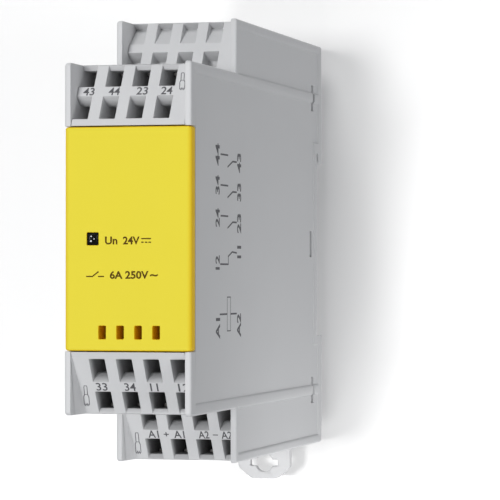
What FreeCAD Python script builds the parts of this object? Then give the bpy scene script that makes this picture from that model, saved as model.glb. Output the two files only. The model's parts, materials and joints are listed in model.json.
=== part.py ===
"""Force-guided relay module for a 35 mm rail.

Millimetres. X is the width, -Y the front, +Y the rail and +Z up.
The origin is the centre of the rail seat.
"""
import FreeCAD, Part
import math
import os
from types import SimpleNamespace

import Sketcher

SIZES = {
    # Enclosure
    "body_width": 22.5,
    "body_depth": 98.0,
    "front_height": 60.3,
    "rear_height": 79.8,
    "rear_tier_setback": 30.2,
    "wall": 1.1,
    "skin": 1.2,
    "corner_round": 0.7,
    "wall_edge": 0.5,
    "seam": 0.1,
    # Framed panels pressed into both side faces
    "panel_recess": 0.35,
    "panel_bevel": 0.3,
    "panel_front_border": 3.1,
    "panel_rear_border": 2.4,
    "panel_rib": 2.0,
    "panel_tier_border": 1.65,
    "panel_notch_border": 2.0,
    # Rail seat
    "notch_depth": 4.2,
    "notch_top": 18.2,
    "notch_bottom": 18.3,
    "hook_tip": 16.2,
    "hook_front": 1.6,
    "hook_round": 0.5,
    # Snap windows in the side cover and the posts that fill them
    "window_width": 2.0,
    "window_height": 5.2,
    "window_inset": 6.55,
    "middle_window_inset": 7.9,
    "post_clearance": 0.25,
    "post_recess": 0.7,
    # Front cover
    "cover_height": 38.4,
    "cover_plate": 1.5,
    "cover_flange": 2.6,
    "cover_round": 0.9,
    "cover_bevel": 0.3,
    "cover_leg_depth": 9.0,
    "cover_leg_height": 8.0,
    "cover_leg_thickness": 1.0,
    "lens_inset": 5.05,
    "lens_width": 2.0,
    "lens_height": 2.1,
    "lens_fit": 0.05,
    "slot_width": 1.3,
    "slot_height": 2.3,
    "slot_pitch": 3.19,
    "slot_shift": 0.28,
    "slot_drop": 15.95,
    "slot_depth": 5.0,
    "slot_wall": 0.8,
    # Terminal blocks
    "block_depth": 23.2,
    "block_clearance": 0.06,
    "face_setback": 6.9,
    "chamber_pitch": 4.82,
    "chamber_width": 2.8,
    "chamber_breakout": 0.05,
    "lead_in": 0.15,
    "lead_in_depth": 7.5,
    "wire_top": 1.0,
    "wire_bottom": 3.95,
    "bridge_back": 11.0,
    "lip_start": 5.65,
    "lip_depth": 6.2,
    "lip_radius": 7.5,
    "release_top": 7.2,
    "release_floor": 9.65,
    "blank_depth": 8.9,
    "blank_step": 0.3,
    "blank_release": 6.4,
    "blank_wall": 1.2,
    "tail_notch": 1.4,
    # Clamp in each used terminal
    "clamp_clearance": 0.15,
    "spring_leaf": 0.35,
    "spring_width": 2.4,
    "spring_bend": 0.9,
    "spring_front": 11.9,
    "spring_shoulder": 6.9,
    "spring_tip": 17.6,
    "spring_end_inset": 1.6,
    "bar_thickness": 0.5,
    "bar_width": 2.2,
    "bar_front": 12.6,
    "bar_rear_inset": 0.5,
    "pin_drop": 5.5,
    "pin_width": 0.8,
    "pin_proud": 0.8,
    "supply_drop": 13.5,
    "supply_gap": 1.6,
    "bar_slot_clearance": 0.3,
    # Rail clip
    "clip_width": 10.7,
    "clip_thickness": 2.0,
    "clip_front": 1.2,
    "clip_clearance": 0.15,
    "clip_lip": 1.2,
    "clip_nose": 16.3,
    "clip_nose_width": 8.8,
    "clip_nose_lead": 1.2,
    "ear_drop": 5.1,
    "ear_foot_drop": 7.4,
    "ear_foot_width": 5.2,
    "ear_round": 1.5,
    "ear_hole": 3.7,
    "ear_hole_rise": 3.2,
    "ear_slot_width": 5.8,
    "ear_slot_height": 1.25,
    "clip_window_width": 6.4,
    "clip_window_height": 11.0,
    "clip_window_rise": 3.9,
    "peg_height": 1.6,
    "peg_width": 3.0,
    "clip_spring_strip": 0.5,
    "clip_spring_fit": 0.05,
    "clip_spring_width": 5.2,
    "clip_spring_depth": 1.2,
    # Circuit board and what sits on its front
    "board_gap": 0.6,
    "board_thickness": 1.6,
    "board_edge": 0.25,
    "board_rib": 1.0,
    "board_rib_reach": 1.1,
    "board_rib_height": 36.0,
    "pin_slot_play": 0.2,
    "led_width": 2.8,
    "led_height": 1.8,
    "led_gap": 0.2,
    "diode_length": 4.4,
    "diode_width": 2.6,
    "diode_height": 2.2,
    "resistor_length": 3.2,
    "resistor_width": 1.6,
    "resistor_height": 0.7,
    "chip_edge": 0.3,
    # Relay case
    "relay_length": 40.6,
    "relay_width": 13.0,
    "relay_height": 24.0,
    "cap_wall": 0.8,
    "cap_round": 0.6,
    "case_fit": 0.1,
    "base_thickness": 1.6,
    # Coil and magnet
    "yoke_thickness": 1.2,
    "yoke_width": 7.2,
    "magnet_fit": 0.05,
    "yoke_inset": 0.15,
    "core_radius": 2.0,
    "pole_radius": 3.2,
    "pole_thickness": 0.8,
    "bobbin_size": 10.2,
    "bobbin_flange": 0.8,
    "bobbin_tube": 0.8,
    "bobbin_gap": 0.2,
    "winding_radius": 4.85,
    "coil_pin_size": 0.6,
    "coil_pin_x": 4.6,
    "coil_pin_reach": 2.0,
    # Armature, comb and contacts
    "armature_z": 0.3,
    "armature_thickness": 0.9,
    "armature_width": 8.4,
    "armature_plate": 12.4,
    "arm_width": 3.6,
    "pole_gap": 0.65,
    "hinge_gap": 0.1,
    "comb_inset": 1.5,
    "comb_thickness": 1.0,
    "comb_width": 6.0,
    "comb_margin": 0.9,
    "comb_play": 0.15,
    "leaf_thickness": 0.25,
    "leaf_width": 3.8,
    "first_contact_z": 4.4,
    "contact_pitch": 4.2,
    "contact_gap": 1.1,
    "closed_gap": 0.05,
    "button_radius": 0.8,
    "button_height": 0.5,
    "button_inset": 3.3,
    "fixed_thickness": 0.5,
    "fixed_overhang": 1.1,
    "tail_width": 1.0,
    "tail_shift": 1.2,
    "tail_play": 0.15,
}

CHAMBERS = 4
COVER_SLOTS = 4
SPRING_FOLDS = 5

doc = FreeCAD.newDocument("force_guided_relay")
sheet = doc.addObject("Spreadsheet::Sheet", "dims")


class Size:
    """A number and the expression that keeps it tied to the sheet."""

    def __init__(self, value, text):
        self.value = value
        self.text = text

    def combine(self, other, sign, value):
        return Size(value, "(%s %s %s)" % (self.text, sign, other.text))

    def __add__(self, other):
        other = as_size(other)
        return self.combine(other, "+", self.value + other.value)

    def __sub__(self, other):
        other = as_size(other)
        return self.combine(other, "-", self.value - other.value)

    def __mul__(self, other):
        other = as_size(other)
        return self.combine(other, "*", self.value * other.value)

    def __truediv__(self, other):
        other = as_size(other)
        return self.combine(other, "/", self.value / other.value)

    def __radd__(self, other):
        return as_size(other) + self

    def __rsub__(self, other):
        return as_size(other) - self

    def __rmul__(self, other):
        return as_size(other) * self

    def __neg__(self):
        return Size(-self.value, "(0 - %s)" % self.text)


def as_size(number):
    """A plain number as a Size."""
    if isinstance(number, Size):
        return number
    return Size(float(number), "(%.6f)" % number)


def fill_sheet():
    """Write the driving sizes to the sheet and return them as named Sizes."""
    for row, (name, value) in enumerate(SIZES.items(), start=1):
        sheet.set("A%d" % row, name)
        sheet.set("B%d" % row, str(value))
        sheet.setAlias("B%d" % row, name)
    doc.recompute()
    return SimpleNamespace(**{name: Size(value, "dims." + name) for name, value in SIZES.items()})


d = fill_sheet()

# Planes and levels that several pieces share
half_width = d.body_width / 2
lens_x = half_width - d.lens_inset
inner_x = half_width - d.wall
rear_y = d.notch_depth
front_y = rear_y - d.body_depth
tier_y = front_y + d.rear_tier_setback
front_top = d.front_height / 2
rear_top = d.rear_height / 2
block_height = front_top - d.cover_height / 2
block_half = inner_x - d.block_clearance
shelf_z = rear_top - block_height
block_back = front_y + d.block_depth + d.seam
riser_y = tier_y + d.block_depth + d.seam
bar_rear = d.block_depth - d.bar_rear_inset
board_front = front_y + d.block_depth + d.board_gap
board_back = board_front + d.board_thickness
window_y = rear_y - d.window_inset
middle_window_y = rear_y - d.middle_window_inset
window_z = front_top - d.panel_rib / 2
clip_back = d.clip_front + d.clip_thickness
channel_half = d.clip_width / 2 + d.clip_clearance
clip_window_floor = -rear_top + d.clip_window_rise
peg_bottom = clip_window_floor + d.clip_clearance

# Which plane a sketch lies on for each axis, and whether its normal runs along that axis
PLANES = {"x": ("YZ_Plane", 1), "y": ("XZ_Plane", -1), "z": ("XY_Plane", 1)}
# The two coordinates that a sketch for each axis uses
SKETCH_AXES = {"x": ("y", "z"), "y": ("x", "z"), "z": ("x", "y")}
ON_EDGE = 1e-4

bodies = []


def new_body(label):
    """An empty body that will be written as one sub-part."""
    body = doc.addObject("PartDesign::Body", label)
    body.Label = label
    bodies.append(body)
    return body


def origin_feature(body, role):
    """The body's own origin plane or axis with this role."""
    for feature in body.Origin.OriginFeatures:
        if feature.Role == role:
            return feature
    raise ValueError("no origin feature " + role)


def new_sketch(body, axis, place):
    """A sketch across an axis at this place along it."""
    role, along = PLANES[axis]
    sketch = body.newObject("Sketcher::SketchObject", "Sketch")
    sketch.AttachmentSupport = (origin_feature(body, role), [""])
    sketch.MapMode = "FlatFace"
    sketch.setExpression("AttachmentOffset.Base.z", (as_size(place) * along).text)
    return sketch


def bind(sketch, constraint, size):
    """Add a dimension to a sketch and tie it to the sheet."""
    index = sketch.addConstraint(constraint)
    sketch.setExpression("Constraints[%d]" % index, size.text)


def pin_point(sketch, geometry, corner, point):
    """Fix one point of a sketch by its two coordinates."""
    across, up = as_size(point[0]), as_size(point[1])
    bind(sketch, Sketcher.Constraint("DistanceX", -1, 1, geometry, corner, across.value), across)
    bind(sketch, Sketcher.Constraint("DistanceY", -1, 1, geometry, corner, up.value), up)


def vector(point):
    """The sketch point as a vector."""
    return FreeCAD.Vector(as_size(point[0]).value, as_size(point[1]).value, 0)


def arc_between(start, end, radius):
    """A short arc from start to end that bulges to the right of the way it goes."""
    chord = end - start
    half = chord.Length / 2
    rise = math.sqrt(radius * radius - half * half)
    left = FreeCAD.Vector(-chord.y, chord.x, 0).normalize()
    centre = (start + end) / 2 + left * rise
    first = math.atan2(start.y - centre.y, start.x - centre.x)
    last = math.atan2(end.y - centre.y, end.x - centre.x)
    circle = Part.Circle(centre, FreeCAD.Vector(0, 0, 1), radius)
    return Part.ArcOfCircle(circle, first, last)


def outline(sketch, points):
    """A closed outline through the points; a third entry is the radius of the round side that starts there."""
    corners = [vector(point) for point in points]
    sides = []
    for point, start, end in zip(points, corners, corners[1:] + corners[:1]):
        bow = point[2:]
        curve = arc_between(start, end, bow[0].value) if bow else Part.LineSegment(start, end)
        side = sketch.addGeometry(curve)
        sides.append(side)
        if bow:
            bind(sketch, Sketcher.Constraint("Radius", side, bow[0].value), bow[0])
    for side, following in zip(sides, sides[1:] + sides[:1]):
        sketch.addConstraint(Sketcher.Constraint("Coincident", side, 2, following, 1))
    for side, point in zip(sides, points):
        pin_point(sketch, side, 1, point)


def box_points(low, high):
    """The corners of a rectangle."""
    return [low, (high[0], low[1]), high, (low[0], high[1])]


def circle(sketch, centre, radius):
    """A round outline."""
    radius = as_size(radius)
    shape = Part.Circle(vector(centre), FreeCAD.Vector(0, 0, 1), radius.value)
    index = sketch.addGeometry(shape)
    pin_point(sketch, index, 3, centre)
    bind(sketch, Sketcher.Constraint("Radius", index, radius.value), radius)


def bent_strip(sketch, path, thickness):
    """The outline of a bent strip: one face follows the path, the other lies to its left."""
    line = [vector(point) for point in path]
    count = len(line)
    ways = [(after - here).normalize() for here, after in zip(line, line[1:])]
    lefts = [FreeCAD.Vector(-way.y, way.x, 0) for way in ways]
    shifted = []
    for index, corner in enumerate(line):
        before = lefts[max(index - 1, 0)]
        after = lefts[min(index, count - 2)]
        mitre = (before + after) / (1 + before.dot(after))
        shifted.append(corner + mitre * thickness.value)
    loop = line + shifted[::-1]
    sides = []
    for start, end in zip(loop, loop[1:] + loop[:1]):
        sides.append(sketch.addGeometry(Part.LineSegment(start, end)))
    for side, following in zip(sides, sides[1:] + sides[:1]):
        sketch.addConstraint(Sketcher.Constraint("Coincident", side, 2, following, 1))
    for side, point in zip(sides, path):
        pin_point(sketch, side, 1, point)
    for index in range(count):
        far_corner = sides[2 * count - 1 - index]
        for run in {max(index - 1, 0), min(index, count - 2)}:
            apart = Sketcher.Constraint("Distance", far_corner, 1, sides[run], thickness.value)
            bind(sketch, apart, thickness)
    sketch.addConstraint(Sketcher.Constraint("Perpendicular", sides[count - 1], sides[count - 2]))
    sketch.addConstraint(Sketcher.Constraint("Perpendicular", sides[2 * count - 1], sides[0]))


def raise_sketch(body, sketch, axis, length):
    """Pad a sketch towards the positive end of its axis."""
    feature = body.newObject("PartDesign::Pad", "Pad")
    feature.Profile = sketch
    feature.setExpression("Length", length.text)
    feature.Reversed = PLANES[axis][1] < 0
    doc.recompute()
    return feature


def sink_sketch(body, sketch, axis, length):
    """Pocket a sketch towards the positive end of its axis, and make sure that it cut something."""
    before = body.Tip.Shape.Volume
    feature = body.newObject("PartDesign::Pocket", "Pocket")
    feature.Profile = sketch
    feature.setExpression("Length", length.text)
    feature.Reversed = PLANES[axis][1] > 0
    doc.recompute()
    if not feature.Shape.Volume < before:
        raise ValueError("a pocket in %s cuts nothing" % body.Label)
    return feature


def slab(body, axis, start, end, points):
    """Add an outline that runs from start to end along an axis."""
    sketch = new_sketch(body, axis, start)
    outline(sketch, points)
    return raise_sketch(body, sketch, axis, as_size(end) - start)


def cut(body, axis, start, end, points):
    """Remove an outline that runs from start to end along an axis."""
    sketch = new_sketch(body, axis, start)
    outline(sketch, points)
    return sink_sketch(body, sketch, axis, as_size(end) - start)


def peg(body, axis, start, end, centre, radius):
    """Add a round peg."""
    sketch = new_sketch(body, axis, start)
    circle(sketch, centre, radius)
    return raise_sketch(body, sketch, axis, as_size(end) - start)


def holes(body, axis, start, end, centres, radius):
    """Remove round holes that share a radius."""
    sketch = new_sketch(body, axis, start)
    for centre in centres:
        circle(sketch, centre, radius)
    return sink_sketch(body, sketch, axis, as_size(end) - start)


def repeat_along_x(body, features, pitch, count):
    """Repeat features along X."""
    pattern = body.newObject("PartDesign::LinearPattern", "LinearPattern")
    pattern.Originals = features
    pattern.Direction = (origin_feature(body, "X_Axis"), [""])
    pattern.setExpression("Length", (pitch * (count - 1)).text)
    pattern.Occurrences = count
    body.Tip = pattern
    doc.recompute()
    return pattern


def edges_through(shape, axis, spots):
    """Names of the straight edges along an axis that pass through the given spots across it."""
    names = []
    for number, edge in enumerate(shape.Edges, start=1):
        first, last = edge.Vertexes[0].Point, edge.Vertexes[-1].Point
        if edge.Curve.TypeId != "Part::GeomLine":
            continue
        for spot in spots:
            near = True
            for name, place in zip(SKETCH_AXES[axis], spot):
                for point in (first, last):
                    near = near and abs(getattr(point, name) - as_size(place).value) < ON_EDGE
            if near:
                names.append("Edge%d" % number)
    return names


def round_edges(body, axis, spots, radius):
    """Round the edges along an axis at these spots."""
    base = body.Tip
    names = edges_through(base.Shape, axis, spots)
    if not names:
        raise ValueError("no edge to round in " + body.Label)
    feature = body.newObject("PartDesign::Fillet", "Fillet")
    feature.Base = (base, names)
    feature.setExpression("Radius", radius.text)
    doc.recompute()
    return feature


def bevel_edges(body, runs, size):
    """Chamfer the edges along each axis at the spots given for it."""
    base = body.Tip
    names = []
    for axis, spots in runs.items():
        names += edges_through(base.Shape, axis, spots)
    if not names:
        raise ValueError("no edge to chamfer in " + body.Label)
    feature = body.newObject("PartDesign::Chamfer", "Chamfer")
    feature.Base = (base, names)
    feature.setExpression("Size", size.text)
    doc.recompute()
    return feature


# Enclosure


def wall_outline():
    """Stepped side profile with the front cover's notch and the rail seat."""
    cover_edge = d.cover_height / 2
    flange_end = front_y + d.cover_flange + d.seam
    return [
        (front_y, front_top), (front_y, cover_edge), (flange_end, cover_edge),
        (flange_end, -cover_edge), (front_y, -cover_edge), (front_y, -front_top),
        (tier_y, -front_top), (tier_y, -rear_top), (rear_y, -rear_top),
        (rear_y, -d.notch_bottom), (0, -d.notch_bottom), (0, d.notch_top),
        (d.hook_front, d.notch_top), (d.hook_front, d.hook_tip), (rear_y, d.hook_tip),
        (rear_y, rear_top), (tier_y, rear_top), (tier_y, front_top),
    ]


def side_wall(body, start, face):
    """One side wall with rounded outer corners and a round along the outer face, clear of the rail."""
    slab(body, "x", start, start + d.wall, wall_outline())
    corners = [(front_y, front_top), (front_y, -front_top), (tier_y, rear_top), (tier_y, -rear_top)]
    round_edges(body, "x", corners, d.corner_round)
    round_edges(body, "y", [(face, front_top), (face, -front_top), (face, rear_top), (face, -rear_top)],
                d.wall_edge)


def press_panels(body, start, face):
    """Shallow panels with bevelled frames in a side face: one on the front tier, two on the rear tier."""
    end = start + d.panel_recess
    panel_front = front_y + d.panel_front_border
    panel_rear = rear_y - d.panel_rear_border
    panel_top = front_top - d.panel_rib
    step = d.notch_top + d.panel_notch_border
    notch_rear = -d.panel_notch_border
    cut(body, "x", start, end, [
        (panel_front, -panel_top), (panel_rear, -panel_top), (panel_rear, -step), (notch_rear, -step),
        (notch_rear, step), (panel_rear, step), (panel_rear, panel_top), (panel_front, panel_top),
    ])
    tier_front = tier_y + d.panel_tier_border
    tier_top = rear_top - d.panel_tier_border
    cut(body, "x", start, end, box_points((tier_front, front_top), (panel_rear, tier_top)))
    cut(body, "x", start, end, box_points((tier_front, -tier_top), (panel_rear, -front_top)))
    levels = [panel_top, front_top, tier_top]
    columns = [panel_front, panel_rear, notch_rear, tier_front]
    bevel_edges(body, {
        "y": [(face, level) for level in levels] + [(face, -level) for level in levels],
        "z": [(face, column) for column in columns],
    }, d.panel_bevel)


def skin_outline():
    """Edge wall round the tray, from terminal block to terminal block, thick where the clip slides."""
    outside = [
        (block_back, front_top), (tier_y, front_top), (tier_y, shelf_z), (riser_y, shelf_z),
        (riser_y, rear_top), (rear_y, rear_top), (rear_y, d.hook_tip), (d.hook_front, d.hook_tip),
        (d.hook_front, d.notch_top), (0, d.notch_top), (0, -d.notch_bottom), (rear_y, -d.notch_bottom),
        (rear_y, -rear_top), (riser_y, -rear_top), (riser_y, -shelf_z), (tier_y, -shelf_z),
        (tier_y, -front_top), (block_back, -front_top),
    ]
    step_y = tier_y - d.skin
    inside = [
        (block_back, d.skin - front_top), (step_y, d.skin - front_top), (step_y, d.skin - shelf_z),
        (riser_y + d.skin, d.skin - shelf_z), (riser_y + d.skin, d.skin - rear_top),
        (-d.skin, d.skin - rear_top), (-d.skin, d.notch_top + d.skin),
        (rear_y - d.skin, d.notch_top + d.skin), (rear_y - d.skin, rear_top - d.skin),
        (riser_y + d.skin, rear_top - d.skin), (riser_y + d.skin, shelf_z - d.skin),
        (step_y, shelf_z - d.skin), (step_y, front_top - d.skin), (block_back, front_top - d.skin),
    ]
    return outside + inside


def snap_windows(margin):
    """Outlines of the three snap openings, smaller by a margin all round."""
    half_y = d.window_width / 2 - margin
    half_z = d.window_height / 2 - margin
    for y, z in [(window_y, window_z), (middle_window_y, as_size(0)), (window_y, -window_z)]:
        yield box_points((y - half_y, z - half_z), (y + half_y, z + half_z))


def board_ribs(body, start, end):
    """A pair of ribs on a side wall that hold the circuit board's edge."""
    half = d.board_rib_height / 2
    for low in (board_front - d.seam - d.board_rib, board_back + d.seam):
        slab(body, "x", start, end, box_points((low, -half), (low + d.board_rib, half)))


def make_housing_body():
    """Tray with the left wall, the edge wall, the clip's guide, the snap posts and the board's ribs."""
    body = new_body("housing_body")
    side_wall(body, -half_width, -half_width)
    slab(body, "x", -inner_x, inner_x, skin_outline())
    hook_edges = [(d.hook_front, d.hook_tip), (rear_y, d.hook_tip)]
    round_edges(body, "x", hook_edges, d.hook_round)
    press_panels(body, -half_width, -half_width)
    floor = d.clip_front - d.clip_clearance
    ceiling = clip_back + d.clip_clearance
    mouth = channel_half - d.clip_lip
    beyond = rear_y + d.notch_depth
    cut(body, "z", -rear_top - d.skin, d.skin - d.notch_bottom, [
        (-channel_half, floor), (channel_half, floor), (channel_half, ceiling), (mouth, ceiling),
        (mouth, beyond), (-mouth, beyond), (-mouth, ceiling), (-channel_half, ceiling),
    ])
    peg_half = d.peg_width / 2
    slab(body, "y", floor - d.seam, clip_back, box_points((-peg_half, peg_bottom),
                                                          (peg_half, peg_bottom + d.peg_height)))
    for points in snap_windows(d.post_clearance):
        slab(body, "x", -inner_x, half_width - d.post_recess, points)
    board_ribs(body, -inner_x, d.board_rib_reach - inner_x)
    slot_low = tier_y + bar_rear - d.bar_thickness - d.bar_slot_clearance
    slot_half = d.bar_width / 2 + d.bar_slot_clearance
    first_x = chamber_x(CHAMBERS - 1) * -1
    bar_slot = cut(body, "z", -shelf_z - d.skin, d.skin * 2 - shelf_z,
                   box_points((first_x - slot_half, slot_low), (first_x + slot_half, riser_y)))
    repeat_along_x(body, [bar_slot], d.chamber_pitch, CHAMBERS)
    return body


def make_side_cover():
    """Right wall that snaps over the tray's posts."""
    body = new_body("side_cover")
    side_wall(body, inner_x, half_width)
    hook_edges = [(d.hook_front, d.hook_tip), (rear_y, d.hook_tip)]
    round_edges(body, "x", hook_edges, d.hook_round)
    press_panels(body, half_width - d.panel_recess, half_width)
    for points in snap_windows(as_size(0)):
        cut(body, "x", inner_x, half_width, points)
    board_ribs(body, inner_x - d.board_rib_reach, inner_x)
    return body


def make_front_cover():
    """Front plate with flanges that lie flush in the side walls' notches, and deep slots."""
    body = new_body("front_cover")
    plate_back = front_y + d.cover_plate
    flange_end = front_y + d.cover_flange
    top = d.cover_height / 2 - d.seam
    slab(body, "z", -top, top, [
        (-half_width, front_y), (half_width, front_y), (half_width, flange_end), (inner_x, flange_end),
        (inner_x, plate_back), (-inner_x, plate_back), (-inner_x, flange_end), (-half_width, flange_end),
    ])
    round_edges(body, "z", [(-half_width, front_y), (half_width, front_y)], d.cover_round)
    bevel_edges(body, {"x": [(front_y, top), (front_y, -top)]}, d.cover_bevel)
    leg_outer = inner_x - d.seam
    leg_inner = leg_outer - d.cover_leg_thickness
    leg_half = d.cover_leg_height / 2
    leg_end = front_y + d.cover_leg_depth
    slab(body, "y", plate_back, leg_end, box_points((leg_inner, -leg_half), (leg_outer, leg_half)))
    slab(body, "y", plate_back, leg_end, box_points((-leg_outer, -leg_half), (-leg_inner, leg_half)))
    lens_half_x = d.lens_width / 2 + d.lens_fit
    lens_half_z = d.lens_height / 2 + d.lens_fit
    cut(body, "y", front_y, plate_back, box_points((-lens_x - lens_half_x, -lens_half_z),
                                                   (lens_half_x - lens_x, lens_half_z)))
    first_x = d.slot_shift - d.slot_pitch * (COVER_SLOTS - 1) / 2
    last_x = first_x + d.slot_pitch * (COVER_SLOTS - 1)
    slot_back = front_y + d.slot_depth
    slot_low = -d.slot_drop - d.slot_height / 2
    slot_high = slot_low + d.slot_height
    sleeve = d.slot_width / 2 + d.slot_wall
    slab(body, "y", plate_back, slot_back, box_points((first_x - sleeve, slot_low - d.slot_wall),
                                                      (last_x + sleeve, slot_high + d.slot_wall)))
    slot = cut(body, "y", front_y, slot_back, box_points((first_x - d.slot_width / 2, slot_low),
                                                         (first_x + d.slot_width / 2, slot_high)))
    repeat_along_x(body, [slot], d.slot_pitch, COVER_SLOTS)
    return body


# Terminal blocks. A block's own frame has its front plane at Y 0 and its outer edge at Z 0.

LEVELS = {"front": (front_y, front_top), "rear": (tier_y, rear_top)}


def chamber_x(index):
    """Middle of a chamber, counted from the one that opens on the side wall."""
    first = d.chamber_width / 2 - d.chamber_breakout - block_half
    return first + d.chamber_pitch * index


def place_in_tier(body, side, tier):
    """Put a piece made in a block's own frame at the top or bottom of a tier."""
    base_y, edge_z = LEVELS[tier]
    body.setExpression("Placement.Base.y", base_y.text)
    if side == "bottom":
        body.Placement = FreeCAD.Placement(
            FreeCAD.Vector(), FreeCAD.Rotation(FreeCAD.Vector(0, 1, 0), 180))
        edge_z = -edge_z
    body.setExpression("Placement.Base.z", edge_z.text)


def face_y(drop):
    """How far back the sloping face lies at a drop below the outer edge."""
    return d.face_setback - d.face_setback * drop / block_height


def block_form(body):
    """Wedge-faced moulding between the side walls."""
    slab(body, "x", -block_half, block_half, [
        (0, d.seam - block_height), (d.block_depth, d.seam - block_height),
        (d.block_depth, 0), (d.face_setback, 0),
    ])


def make_terminal_block(side, tier):
    """Block with a wire opening, a rounded release opening and a clamp space in each chamber."""
    body = new_body("%s_%s_terminal_block" % (side, tier))
    block_form(body)
    ahead = -d.face_setback
    behind = d.block_depth + d.seam
    left = chamber_x(0) - d.chamber_width / 2
    chamber = cut(body, "x", left, left + d.chamber_width, [
        (face_y(d.lead_in), -d.lead_in), (d.lead_in_depth, -d.wire_top), (behind, -d.wire_top),
        (behind, -d.release_floor), (ahead, -d.release_floor), (ahead, -d.lip_start),
        (face_y(d.lip_start), -d.lip_start, d.lip_radius), (d.lip_depth, -d.release_top),
        (d.bridge_back, -d.release_top), (d.bridge_back, -d.wire_bottom), (ahead, -d.wire_bottom),
        (ahead, -d.lead_in),
    ])
    tail_way = cut(body, "x", left, left + d.chamber_width, box_points(
        (d.block_depth - d.tail_notch, -block_height), (behind, d.seam - d.release_floor)))
    repeat_along_x(body, [chamber, tail_way], d.chamber_pitch, CHAMBERS)
    place_in_tier(body, side, tier)
    return body


def make_blank_block(side, tier):
    """The same face with ramped wire openings, shallow release openings and a hollow back."""
    body = new_body("%s_%s_terminal_block" % (side, tier))
    block_form(body)
    ahead = -d.face_setback
    behind = d.block_depth + d.seam
    left = chamber_x(0) - d.chamber_width / 2
    right = left + d.chamber_width
    wire = cut(body, "x", left, right, [
        (ahead, -d.lead_in), (ahead, -d.wire_bottom), (face_y(d.wire_bottom) + d.blank_step, -d.wire_bottom),
        (d.blank_depth, -d.wire_top), (face_y(d.lead_in), -d.lead_in),
    ])
    release = cut(body, "x", left, right, [
        (d.blank_release, -d.release_floor), (ahead, -d.release_floor), (ahead, -d.lip_start),
        (face_y(d.lip_start), -d.lip_start, d.lip_radius), (d.blank_release, -d.release_top),
    ])
    repeat_along_x(body, [wire, release], d.chamber_pitch, CHAMBERS)
    hollow_half = block_half - d.blank_wall
    cut(body, "y", d.blank_depth + d.blank_wall, behind, box_points(
        (-hollow_half, d.blank_wall - block_height), (hollow_half, -d.blank_wall)))
    place_in_tier(body, side, tier)
    return body


def make_terminal_spring(name, index, side, tier):
    """Looped leaf whose blade holds the wire against the bar."""
    body = new_body("terminal_spring_" + name)
    low = -d.release_floor + d.clamp_clearance
    bar_face = -d.wire_top - d.clamp_clearance - d.bar_thickness
    path = [
        (d.spring_tip, bar_face - d.clamp_clearance), (d.spring_front, -d.spring_shoulder),
        (d.spring_front, low), (d.block_depth - d.spring_end_inset, low),
    ]
    start = chamber_x(index) - d.spring_width / 2
    sketch = new_sketch(body, "x", start)
    bent_strip(sketch, path, d.spring_leaf)
    raise_sketch(body, sketch, "x", d.spring_width)
    inner = [(d.spring_front + d.spring_leaf, low + d.spring_leaf)]
    round_edges(body, "x", inner, d.spring_bend)
    round_edges(body, "x", path[1:3], d.spring_bend + d.spring_leaf)
    place_in_tier(body, side, tier)
    return body


def make_current_bar(name, index, side, tier):
    """Bar above the wire way; its tail ends in a pin through the circuit board."""
    body = new_body("current_bar_" + name)
    under = -d.wire_top - d.clamp_clearance - d.bar_thickness
    inner_rear = bar_rear - d.bar_thickness
    board_near = board_front - LEVELS[tier][0]
    board_far = board_back - LEVELS[tier][0]
    path = [(d.bar_front, under), (inner_rear, under)]
    if tier == "front":
        pin_top = d.bar_thickness / 2 - d.pin_drop
        path.append((inner_rear, pin_top - d.bar_thickness))
        pin_start, pin_end = inner_rear, board_far + d.pin_proud
    else:
        pin_top = d.bar_thickness / 2 - d.supply_drop
        run_end = board_far + d.supply_gap
        path += [(inner_rear, pin_top), (run_end, pin_top)]
        pin_start, pin_end = board_near - d.pin_proud, run_end + d.bar_thickness
    middle = chamber_x(index)
    sketch = new_sketch(body, "x", middle - d.bar_width / 2)
    bent_strip(sketch, path, d.bar_thickness)
    raise_sketch(body, sketch, "x", d.bar_width)
    pin_half = d.pin_width / 2
    slab(body, "x", middle - pin_half, middle + pin_half,
         box_points((pin_start, pin_top - d.bar_thickness), (pin_end, pin_top)))
    place_in_tier(body, side, tier)
    return body


# Rail clip


def make_rail_clip():
    """Latch plate with a nose behind the rail, a spring window and a pull ear."""
    body = new_body("rail_clip")
    half = d.clip_width / 2
    nose_half = d.clip_nose_width / 2
    foot_half = d.ear_foot_width / 2
    shoulder = -d.notch_bottom
    ear_side = -rear_top - d.ear_drop
    ear_foot = -rear_top - d.ear_foot_drop
    slab(body, "y", d.clip_front, clip_back, [
        (-half, shoulder), (-half, ear_side), (-foot_half, ear_foot), (foot_half, ear_foot),
        (half, ear_side), (half, shoulder), (nose_half, -d.clip_nose), (-nose_half, -d.clip_nose),
    ])
    corners = [(-half, ear_side), (half, ear_side), (-foot_half, ear_foot), (foot_half, ear_foot)]
    round_edges(body, "y", corners, d.ear_round)
    bevel_edges(body, {"x": [(clip_back, -d.clip_nose)]}, d.clip_nose_lead)
    window_half = d.clip_window_width / 2
    cut(body, "y", d.clip_front, clip_back, box_points(
        (-window_half, clip_window_floor), (window_half, clip_window_floor + d.clip_window_height)))
    hole_z = ear_foot + d.ear_hole_rise
    holes(body, "y", d.clip_front, clip_back, [(0, hole_z)], d.ear_hole / 2)
    slot_half = d.ear_slot_width / 2
    cut(body, "y", d.clip_front, clip_back, box_points(
        (-slot_half, hole_z - d.ear_slot_height / 2), (slot_half, hole_z + d.ear_slot_height / 2)))
    return body


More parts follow.
